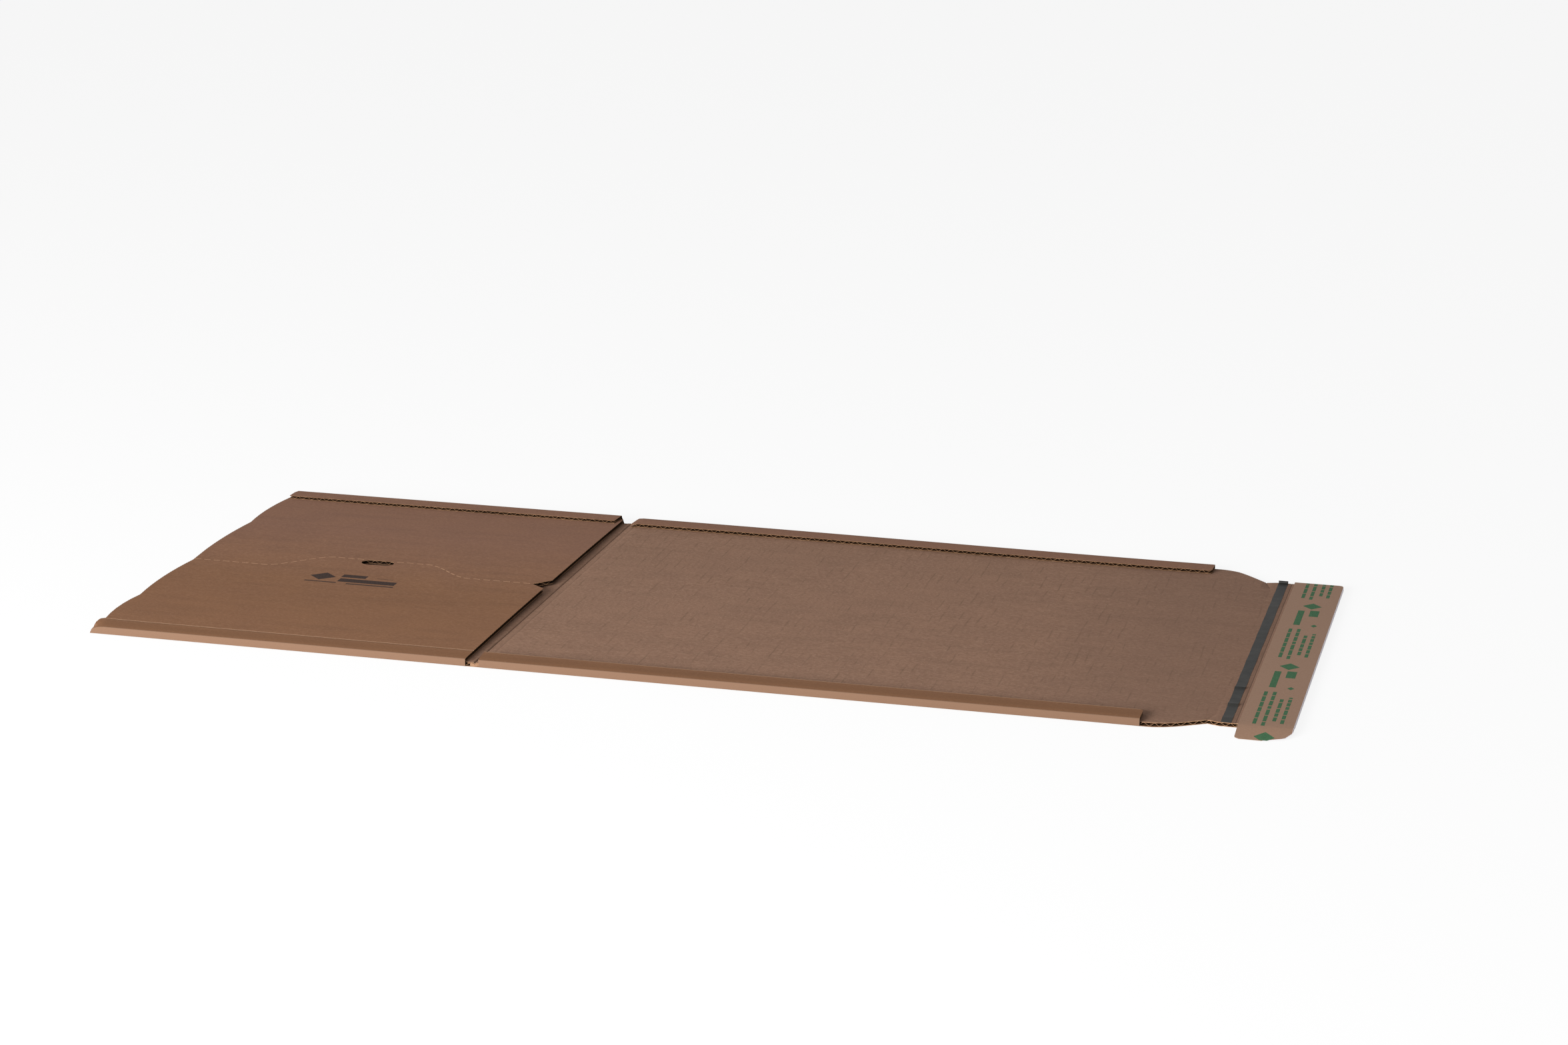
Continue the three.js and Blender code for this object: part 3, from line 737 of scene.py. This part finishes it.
# The closing end's cut edge, as a distance in from the long edge.
def closingEdge(x, inset):
    start, kink, deep = wrap["flapX1"] + wrap["shoulderStart"], wrap["kinkX"], inset + wrap["kinkDepth"]
    t = share(x, start, kink)
    swing = t * t * (1 + wrap["shoulderHollow"] * (1 - t))
    edge = mailer["cutEdge"] + (deep - mailer["cutEdge"]) * swing
    back = np.interp(x, [kink, kink + wrap["kinkLength"] * wrap["kinkTurn"], kink + wrap["kinkLength"]],
                     [deep, inset + wrap["kinkDepth"] * wrap["kinkTurn"], inset])
    return np.where(x < kink, edge, back)


# How far the kinks' short scores have leant over at a distance across the sheet.
def kinkLean(y):
    reach = wrap["kinkScore"]
    return wrap["kinkLean"] * np.minimum(share(y, kinkNear, kinkNear + reach),
                                         share(y, kinkFar, kinkFar - reach))


def wrapPath():
    width, flap = mailer["width"], wrap["flapWidth"]
    top, under = mailer["foldedOuter"], mailer["foldedInner"]
    keys = [(flap, top, flap, under)] + foldKeys(0, 1)
    flatKey = len(keys) - 1
    keys += foldKeys(width, -1)[::-1] + [(width - flap, top, width - flap, under)]
    return FoldPath(keys, flatKey, board["thickness"]), flatKey


wrapFold, wrapFlat = wrapPath()


# The wrap's part of the sheet as rows from the near flap's free edge to the far flap's.
def wrapGrid(name, columns, inset):
    width, cut, reach, s = mailer["width"], mailer["cutEdge"] + inset, wrap["kinkScore"], wrapFold.s
    nearFold = [at for at in s[1:wrapFlat - 1] if at < cut - 0.05]
    farFold = [at for at in s[wrapFlat + 2:-1] if at > width - cut + 0.05]
    base = [cut, mailer["foldReach"], kinkNear, kinkNear + 0.5, kinkNear + reach, kinkNear + reach + 1,
            *wrap["rows"], kinkFar - reach - 1, kinkFar - reach, kinkFar - 0.5, kinkFar,
            width - mailer["foldReach"], width - cut]
    rows = [s[0] + inset] + nearFold + base + farFold + [s[-1] - inset]
    ss = np.tile(np.array(rows)[:, None], (1, len(columns)))
    xs = np.tile(columns, (len(rows), 1))
    onBase = (ss >= cut - 0.001) & (ss <= width - cut + 0.001)
    nearScore = (np.abs(xs - wrap["kinkX"]) < wrap["scoreHalf"] + 0.01) & (inset == 0)
    xs = xs + kinkLean(ss) * nearScore
    low = np.maximum(cut, closingEdge(xs, wrap["nearInset"]) + inset)
    high = width - np.maximum(cut, closingEdge(xs, wrap["farInset"]) + inset)
    ss = np.where(onBase, np.clip(ss, low, high), ss)
    drop = rounding(wrap["flapX1"] - columns, wrap["flapCorner"])
    ss[0] += drop
    ss[-1] -= drop
    middle = (columns[:-1] + columns[1:]) / 2
    inFlap = (middle > wrap["flapX0"]) & (middle < wrap["flapX1"])
    outward = np.maximum(share(ss, 0, s[0]), share(ss, width, s[-1]))
    start = np.where(ss < width / 2, wrap["flapX0"], wrap["farFlapX0"] + 0.1)
    xs = xs - wrap["flapLean"] * outward * (np.abs(xs - start) < 0.01)
    nearFlap = (ss[:-1, :-1] < width / 2) | (middle > wrap["farFlapX0"])
    rowOnBase = onBase[:-1, :-1] & onBase[1:, 1:]
    return gridMesh(name, xs, ss, rowOnBase | (inFlap & nearFlap))


def wrapColumns():
    columns = {creaseEnd, wrap["flapX0"], *wrap["columns"], mailer["endX"]}
    for x in (wrap["secondScoreX"], wrap["kinkX"], wrap["endScoreX"]):
        columns |= {x - wrap["scoreHalf"], x, x + wrap["scoreHalf"]}
    columns |= {wrap["flapX1"] - wrap["flapCorner"] * part for part in wrap["cornerShares"]}
    return np.array(sorted(columns))


def pressWrap(x, y):
    half, depth, reach = wrap["scoreHalf"], wrap["scoreDepth"], wrap["kinkScore"] + 0.1
    flat = (y > wrap["underFlap"]) & (y < mailer["width"] - wrap["underFlap"])
    deep = groove(x - wrap["secondScoreX"], half, depth * wrap["secondScoreShare"]) * flat
    deep = deep + groove(x - wrap["endScoreX"], half, depth * wrap["endScoreShare"])
    ends = (y < kinkNear + reach) | (y > kinkFar - reach)
    return deep + groove(x - wrap["kinkX"] - kinkLean(y), half, depth) * ends


wrapBoard = layUp(
    "wrap_board",
    wrapGrid("wrapLiner", wrapColumns(), 0),
    wrapGrid("wrapFluting", fluteColumns(creaseEnd, mailer["endX"] - 0.2), board["flutingSetBack"]),
    wrapFold, outerKraft, innerKraft, pressWrap,
)
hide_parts("wrap_panel")
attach(wrapBoard, "wrap_body")


# The crease between them, which bends with the wrap

crease = {
    "halfWidth": 0.9,
    "depth": 0.6,
    "crushedFluting": 1.7,
    "linerStep": 0.3,
    "flutingStep": 0.375,
    "flutingInset": 0.1,
    "rows": tuple(range(60, 301, 30)),
}


def creaseGrid(name, step, inset):
    columns = np.linspace(creaseStart, creaseEnd, int((creaseEnd - creaseStart) / step) + 1)
    cut = mailer["cutEdge"] + inset
    rows = np.array([cut, *crease["rows"], mailer["width"] - cut])
    xs, ss = np.meshgrid(columns, rows)
    return gridMesh(name, xs, ss, np.ones((len(rows) - 1, len(columns) - 1), bool))


creaseBoard = layUp(
    "crease_board",
    creaseGrid("creaseLiner", crease["linerStep"], 0),
    creaseGrid("creaseFluting", crease["flutingStep"], crease["flutingInset"]),
    wrapFold, outerKraft, innerKraft,
    lambda x, y: groove(x - mailer["creaseX"], crease["halfWidth"], crease["depth"]),
    crease["crushedFluting"],
)
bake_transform(creaseBoard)
print("sheet folded")


# A thin strip with a closed edge all round, from rows of left, right, and lower and upper
# y and z; the last column takes the second material and hangs down by its lip.
def thinStrip(name, lefts, rights, lower, upper, shares, materials, smoothAngle=50, lips=None):
    n, m = len(lefts), len(shares)
    lips = np.zeros(n) if lips is None else lips
    vertices = []
    for line in (lower, upper):
        for left, right, (y, z), lip in zip(lefts, rights, line, lips):
            vertices += [(left + (right - left) * t, y, z - lip * (t == 1)) for t in shares]
    faces, slots = [], []
    for i in range(n - 1):
        for j in range(m - 1):
            a, b = i * m + j, (i + 1) * m + j
            faces += [(a, b, b + 1, a + 1), (n * m + a, n * m + a + 1, n * m + b + 1, n * m + b)]
            slots += [int(j == m - 2)] * 2
        for j in (0, m - 1):
            a, b = i * m + j, (i + 1) * m + j
            wall = (a, n * m + a, n * m + b, b)
            faces.append(wall[::-1] if j == 0 else wall)
            slots.append(int(j == m - 1))
    for i in (0, n - 1):
        for j in range(m - 1):
            a = i * m + j
            wall = (a, n * m + a, n * m + a + 1, a + 1)
            faces.append(wall if i == 0 else wall[::-1])
            slots.append(int(j == m - 2))
    thing = makeObject(name, toFrame(settled(np.array(vertices))), faces, materials, smoothAngle)
    if len(materials) > 1:
        thing.data.polygons.foreach_set("material_index", slots)
    return thing


# The same line moved sideways by a distance, for a strip's upper face.
def offsetLine(line, distance):
    slope = np.gradient(np.array(line, float), axis=0)
    normal = np.stack([-slope[:, 1], slope[:, 0]], 1)
    normal /= np.linalg.norm(normal, axis=1)[:, None]
    return np.array(line) + normal * distance


# The tear tape: it lies on the board a hair above it, rucked up in places, its edges not quite
# straight, and its far end curls up

tape = {
    "x": 754.5,
    "width": 6.6,
    "thickness": 0.12,
    "above": 0.01,
    "nearY": 14.3,
    "curlY": 325.5,
    "curlRadius": 1.1,
    "curlAngle": 2.4,
    "curlSteps": 10,
    "rows": 260,
    "columns": 5,
    "leftWave": (0.08, 0.21, 0),
    "rightWave": (0.1, 0.13, 2),
    "wrinkles": ((50, 1.0, 2.2), (84.5, 0.9, 2.0), (24, 0.2, 2.5), (143, 0.12, 3), (206, 0.1, 4),
                 (268, 0.14, 3)),
}


def tapePiece():
    lift, radius = board["thickness"] + tape["above"], tape["curlRadius"]
    line = []
    for y in np.linspace(tape["nearY"], tape["curlY"], tape["rows"]):
        ruck = sum(high * math.exp(-((y - at) / wide) ** 2) for at, high, wide in tape["wrinkles"])
        line.append((y, lift + ruck))
    for k in range(tape["curlSteps"]):
        a = tape["curlAngle"] * (k + 1) / tape["curlSteps"]
        line.append((tape["curlY"] + radius * math.sin(a), lift + radius * (1 - math.cos(a))))
    leftDeep, leftOften, leftShift = tape["leftWave"]
    rightDeep, rightOften, rightShift = tape["rightWave"]
    lefts = [tape["x"] + leftDeep * math.sin(y * leftOften + leftShift) for y, _ in line]
    rights = [tape["x"] + tape["width"] + rightDeep * math.sin(y * rightOften + rightShift) for y, _ in line]
    return thinStrip("tear_tape", lefts, rights, line, offsetLine(line, tape["thickness"]),
                     np.linspace(0, 1, tape["columns"]), [tapeBlack])


tearTape = tapePiece()
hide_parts("tear_strip")
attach(tearTape, "wrap_body")
print("tape laid")


# The release paper, its near end bent down over the board's edge

release = {
    "left": 765.5,
    "right": 799.95,
    "bottom": 2.87,
    "thickness": 0.16,
    "bendY": 13,
    "bendRows": 15,
    "bendPower": 1.2,
    "tipY": -7.6,
    "tipZ": 0.3,
    "flatRows": (*np.linspace(20, 324, 39), 327, 328.5, 329.5, 330),
    "corner": 3,
    "chamfer": (16.9, 13),
    "chamferTurn": (0.4, 0.23),
    "columns": 6,
    "edgeShare": 0.992,
    "lip": 2.3,
    "lipEase": 5,
}


def releasePath():
    drop = release["bottom"] - release["tipZ"]
    run = release["bendY"] - release["tipY"]
    line = [(release["tipY"] + run * t, release["bottom"] - drop * (1 - t) ** release["bendPower"])
            for t in np.linspace(0, 1, release["bendRows"])]
    line += [(y, release["bottom"]) for y in release["flatRows"]]
    upper = offsetLine(line, release["thickness"])
    keys = [(*low, *high) for low, high in zip(line, upper)]
    return FoldPath(keys, release["bendRows"], release["thickness"])


releaseFold = releasePath()


def releasePiece():
    keys, s = releaseFold.keys, releaseFold.s
    fromTip, fromFar = s - s[0], s[-1] - s
    corner, (chamferX, chamferY), (turnY, turnX) = (release[k] for k in ("corner", "chamfer", "chamferTurn"))
    slanted = np.interp(fromTip, [0, chamferY * turnY, chamferY], [chamferX, chamferX * turnX, 0])
    lefts = release["left"] + rounding(fromTip, corner)
    rights = release["right"] - np.maximum(slanted, rounding(fromFar, corner))
    shares = np.append(np.linspace(0, release["edgeShare"], release["columns"]), 1)
    # the pale lip hangs over the board's end; its colour is partly painted light on that shaded face
    lips = release["lip"] * smooth(keys[:, 0], release["bendY"], release["bendY"] + release["lipEase"])
    return thinStrip("release_paper", lefts, rights, keys[:, :2], keys[:, 2:], shares,
                     [releaseKraft, releaseEdge], lips=lips)


releasePaper = releasePiece()
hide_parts("release_liner")
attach(releasePaper, "wrap_body")


# Print, perforations and the mouth's painted shade: flat marks that are repeated, then bent with the paper
# under them

# Copies of the marks, a pitch apart along the strip.
def repeatTree():
    tree, given = newTree("printRepeat",
                          {"Copies": "Int", "First offset": "Float", "Pitch": "Float", "Ink": "Material"})
    start = addNode(tree, "ShaderNodeCombineXYZ", {}, {1: given["First offset"]})
    step = addNode(tree, "ShaderNodeCombineXYZ", {}, {1: given["Pitch"]})
    places = addNode(tree, "GeometryNodeMeshLine", {"mode": "OFFSET"},
                     {"Count": given["Copies"], "Start Location": start, "Offset": step})
    copies = addNode(tree, "GeometryNodeInstanceOnPoints", {},
                     {"Points": places, "Instance": given["Geometry"]})
    real = addNode(tree, "GeometryNodeRealizeInstances", {}, {"Geometry": copies})
    inked = addNode(tree, "GeometryNodeSetMaterial", {}, {"Geometry": real, "Material": given["Ink"]})
    addNode(tree, "NodeGroupOutput", {}, {0: inked})
    return tree


# Short cuts at an even pitch along a line, each turned along it.
def cutsTree():
    tree, given = newTree("perforation", {"Pitch": "Float", "Cut length": "Float", "Cut width": "Float",
                                          "Paper": "Material"})
    line = addNode(tree, "GeometryNodeMeshToCurve", {}, {"Mesh": given["Geometry"]})
    places = addNode(tree, "GeometryNodeCurveToPoints", {"mode": "LENGTH"},
                     {"Curve": line, "Length": given["Pitch"]})
    turned = addNode(tree, "FunctionNodeAlignRotationToVector", {"axis": "X"},
                     {"Vector": places.outputs["Tangent"]})
    cut = addNode(tree, "GeometryNodeMeshGrid", {},
                  {"Size X": given["Cut length"], "Size Y": given["Cut width"], "Vertices X": 4,
                   "Vertices Y": 2})
    copies = addNode(tree, "GeometryNodeInstanceOnPoints", {},
                     {"Points": places, "Instance": cut, "Rotation": turned})
    real = addNode(tree, "GeometryNodeRealizeInstances", {}, {"Geometry": copies})
    torn = addNode(tree, "GeometryNodeSetMaterial", {}, {"Geometry": real, "Material": given["Paper"]})
    addNode(tree, "NodeGroupOutput", {}, {0: torn})
    return tree


printRepeat, perforation = repeatTree(), cutsTree()


# Flat marks as one object; a mark is rows of y, left x and right x.
def markMesh(name, marks):
    vertices, faces = [], []
    for rows in marks:
        start = len(vertices)
        for y, left, right in rows:
            vertices += [(left, y, 0), (right, y, 0)]
        for k in range(len(rows) - 1):
            a = start + 2 * k
            faces.append((a, a + 1, a + 3, a + 2))
    return newObject(name, vertices, [], faces)


def bar(left, right, low, high, step=3.0):
    ys = np.linspace(low, high, max(2, int((high - low) / step) + 1))
    return [(y, left, right) for y in ys]


# A lozenge with ends cut a tenth of a millimetre wide, so that its rows stay apart there.
def lozenge(x, y, halfX, halfY):
    return [(y + halfY * t, x - halfX * (1 - abs(t)) - 0.05, x + halfX * (1 - abs(t)) + 0.05)
            for t in np.linspace(-1, 1, 13)]


# Bends a flat mesh of marks onto a path, a hair above its paper, and drops what is past its ends.
def bendOn(name, mesh, path, height, material, low=-math.inf, high=math.inf):
    flat = meshPoints(mesh)
    flat[:, 1] = np.clip(flat[:, 1], low, high)
    flat[:, 2] = height
    faces = [list(polygon.vertices) for polygon in mesh.polygons]
    used, faces = usedOnly([face for face in faces if np.ptp(flat[face, 1]) > 0.01])
    thing = makeObject(name, toFrame(settled(path.folded(flat[used]))), faces, [material], 80)
    up = sum(polygon.normal.z * polygon.area for polygon in thing.data.polygons)
    if up < 0:
        thing.data.flip_normals()
    return thing


greenPrint = {
    "pitch": 138.7,
    "copies": 4,
    "skip": -2,
    "lozenges": ((783.5, 274.5, 6.5, 7), (789.3, 229.2, 2.2, 3)),
    "blocks": ((783.4, 789.6, 250.5, 264.5), (775.3, 779.6, 229, 263)),
    "lines": ((774.9, 154.5, 219.5), (780.5, 152, 220), (786.4, 162, 210), (791.6, 158.3, 211)),
    "lineWidth": 2.3,
    "wordLength": (4, 11),
    "wordGap": (1.2, 1.8),
    "lastWord": 2,
    "above": 0.03,
    "margin": 0.4,
    "seed": 4,
}


def greenMarks():
    marks = [lozenge(*values) for values in greenPrint["lozenges"]]
    marks += [bar(*block) for block in greenPrint["blocks"]]
    pick = np.random.default_rng(greenPrint["seed"])
    half = greenPrint["lineWidth"] / 2
    for x, at, high in greenPrint["lines"]:
        while at < high - greenPrint["lastWord"]:
            stop = min(high, at + pick.uniform(*greenPrint["wordLength"]))
            marks.append(bar(x - half, x + half, at, stop))
            at = stop + pick.uniform(*greenPrint["wordGap"])
    return markMesh("greenMarks", marks)


def releasePrintPiece():
    marks, pitch, margin = greenMarks(), greenPrint["pitch"], greenPrint["margin"]
    printed = runTree(marks, printRepeat, {
        "Copies": greenPrint["copies"], "First offset": greenPrint["skip"] * pitch, "Pitch": pitch,
        "Ink": greenInk,
    })
    bpy.data.objects.remove(marks)
    return bendOn("release_print", printed, releaseFold, release["thickness"] + greenPrint["above"], greenInk,
                  releaseFold.s[0] + margin, releaseFold.s[-1] - margin)


releasePrint = releasePrintPiece()
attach(releasePrint, "wrap_body")


darkPrint = {
    "lozenge": (106, 147, 9.5, 8.5),
    "bars": ((119, 137, 148, 154.5), (120, 162, 137.4, 145.2), (97, 120.5, 133.6, 135.4),
             (128, 163, 132.8, 134.8),
             (145, 157, 150.2, 150.8)),
    "height": -0.03,
}


def pouchPrintPiece():
    shapes = [lozenge(*darkPrint["lozenge"])]
    shapes += [bar(*values, 1.0) for values in darkPrint["bars"]]
    marks = markMesh("pouchMarks", [[(float(panelS(y)), a, b) for y, a, b in rows] for rows in shapes])
    thing = bendOn("pouch_print", marks.data, pouchFold, darkPrint["height"], darkInk)
    bpy.data.objects.remove(marks)
    return thing


pouchPrint = pouchPrintPiece()
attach(pouchPrint, "pouch_body")


tearLine = {
    "startX": 4,
    "beforeNotch": 4,
    "start": 163,
    "high": 193.5,
    "end": 169,
    "rise": (55, 97),
    "fall": (166, 206),
    "besideSlot": 15,
    "points": 40,
    "pitch": 7,
    "cut": 5,
    "width": 0.9,
    "height": -0.02,
}


def tearLineY(x):
    start, high, end = tearLine["start"], tearLine["high"], tearLine["end"]
    return start + (high - start) * smooth(x, *tearLine["rise"]) - (high - end) * smooth(x, *tearLine["fall"])


def tearCutsPiece():
    slot, beside, count = pouch["slotCenter"][0], tearLine["besideSlot"], tearLine["points"]
    vertices, edges = [], []
    for low, high in ((tearLine["startX"], slot - beside),
                      (slot + beside, pouch["notchTip"][0] - tearLine["beforeNotch"])):
        edges += [(len(vertices) + k, len(vertices) + k + 1) for k in range(count - 1)]
        vertices += [(x, float(panelS(tearLineY(x))), 0) for x in np.linspace(low, high, count)]
    line = newObject("tearLine", vertices, edges, [])
    cuts = runTree(line, perforation, {
        "Pitch": float(tearLine["pitch"]), "Cut length": float(tearLine["cut"]),
        "Cut width": tearLine["width"], "Paper": burrFibres,
    })
    bpy.data.objects.remove(line)
    return bendOn("tear_line_cuts", cuts, pouchFold, tearLine["height"], burrFibres)


perforations = tearCutsPiece()
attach(perforations, "pouch_body")


mouthCellShade = {
    "pitch": 2.05,
    "count": 158,
    "from": 12,
    "width": 1.15,
    "low": 0.75,
    "high": 1.9,
    "standOut": 0.02,
    "besideNotch": (-9.5, 13),
}


# Painted shade: small nearly black patches on the mouth's cut edge, between its liners, stand for the shaded
# flute cells there.
def mouthPiece():
    first = float(panelS(pouch["panelEnd"] - mouthCellShade["from"]))
    shadeCell = markMesh("shadeCell", [bar(mouthCellShade["low"], mouthCellShade["high"], 0, mouthCellShade["width"], 0.6)])
    mesh = runTree(shadeCell, printRepeat, {
        "Copies": mouthCellShade["count"], "First offset": first, "Pitch": mouthCellShade["pitch"], "Ink": flutePaintedShade,
    })
    bpy.data.objects.remove(shadeCell)
    flat = meshPoints(mesh)
    mouthX = np.full(len(flat), mailer["pouchLength"] + mouthCellShade["standOut"])
    points = pouchFold.folded(np.stack([mouthX, flat[:, 1], flat[:, 0]], 1))
    notchLow, notchHigh = (pouch["notchTip"][1] + side for side in mouthCellShade["besideNotch"])
    faces = [list(polygon.vertices) for polygon in mesh.polygons]
    used, faces = usedOnly([face for face in faces if not notchLow < points[face[0], 1] < notchHigh])
    return makeObject("mouth_cell_shade", toFrame(settled(points[used])), faces, [flutePaintedShade], 80)


mouth = mouthPiece()
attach(mouth, "pouch_body")
print("print and perforations laid")


# The camera, at the photograph's angle

camera = {"place": (0.5908, -2.1578, 0.6882), "yaw": 14.460, "pitch": 15.649, "roll": 0.390, "lens": 77.99}


def addCamera():
    yaw, pitch, roll = (math.radians(camera[k]) for k in ("yaw", "pitch", "roll"))
    ahead = Vector((-math.sin(yaw) * math.cos(pitch), math.cos(yaw) * math.cos(pitch), -math.sin(pitch)))
    right = Vector((math.cos(yaw), math.sin(yaw), 0))
    up = right.cross(ahead)
    rolledRight = right * math.cos(roll) + up * math.sin(roll)
    rolledUp = up * math.cos(roll) - right * math.sin(roll)
    data = bpy.data.cameras.new("camera")
    data.sensor_width = 36
    data.lens = camera["lens"]
    data.clip_start, data.clip_end = 0.05, 50
    thing = bpy.data.objects.new("camera", data)
    turn = Matrix((rolledRight, rolledUp, -ahead)).transposed().to_4x4()
    thing.matrix_world = Matrix.Translation(camera["place"]) @ turn
    bpy.context.scene.collection.objects.link(thing)
    bpy.context.scene.camera = thing


addCamera()


# Floor and light

studio = {
    "floorSize": 12,
    "floorDrop": 0.0002,
    "floorColour": "#f0f0f0",
    "white": 0.86,
    "world": 0.45,
    "key": 155,
    "keyPlace": (-1.05, -2.35, 0.66),
    "keyAim": (-0.1, 0, 0),
    "keySize": (1.6, 0.8),
}


def addFloor():
    half = studio["floorSize"] / 2
    floor = makeObject("floor", [(-half, -half, 0), (half, -half, 0), (half, half, 0), (-half, half, 0)],
                       [(0, 1, 2, 3)], [])
    floor.location.z = -studio["floorDrop"]
    material = bpy.data.materials.new("paleFloor")
    material.use_nodes = True
    tree = material.node_tree
    tree.nodes.clear()
    diffuse = addNode(tree, "ShaderNodeBsdfDiffuse", {}, {"Color": linearColor(studio["floorColour"])})
    glow = addNode(tree, "ShaderNodeEmission", {}, {"Color": (1, 1, 1, 1), "Strength": 1.0})
    path = addNode(tree, "ShaderNodeLightPath").outputs
    seen = addNode(tree, "ShaderNodeMath", {"operation": "MAXIMUM"},
                   {0: path["Is Camera Ray"], 1: path["Is Glossy Ray"]})
    whiter = addNode(tree, "ShaderNodeMath", {"operation": "MULTIPLY"}, {0: seen, 1: studio["white"]})
    both = addNode(tree, "ShaderNodeMixShader", {}, {0: whiter, 1: diffuse, 2: glow})
    addNode(tree, "ShaderNodeOutputMaterial", {}, {0: both})
    floor.data.materials.append(material)


def addLamp(name, place, aim, size, power):
    data = bpy.data.lights.new(name, "AREA")
    data.shape = "RECTANGLE"
    data.size, data.size_y = size
    data.energy = power
    lamp = bpy.data.objects.new(name, data)
    lamp.location = place
    lamp.rotation_euler = (Vector(aim) - Vector(place)).to_track_quat("-Z", "Y").to_euler()
    lamp.visible_camera = False
    bpy.context.scene.collection.objects.link(lamp)


def addWorld():
    world = bpy.data.worlds.new("studioWorld")
    world.use_nodes = True
    tree = world.node_tree
    tree.nodes.clear()
    path = addNode(tree, "ShaderNodeLightPath").outputs
    soft = addNode(tree, "ShaderNodeBackground", {}, {0: (1, 1, 1, 1), 1: studio["world"]})
    white = addNode(tree, "ShaderNodeBackground", {}, {0: (1, 1, 1, 1), 1: 1.0})
    both = addNode(tree, "ShaderNodeMixShader", {}, {0: path["Is Camera Ray"], 1: soft, 2: white})
    addNode(tree, "ShaderNodeOutputWorld", {}, {0: both})
    bpy.context.scene.world = world


addFloor()
addWorld()
addLamp("key", studio["keyPlace"], studio["keyAim"], studio["keySize"], studio["key"])
bpy.context.scene.view_settings.view_transform = "Standard"
print("studio lit")
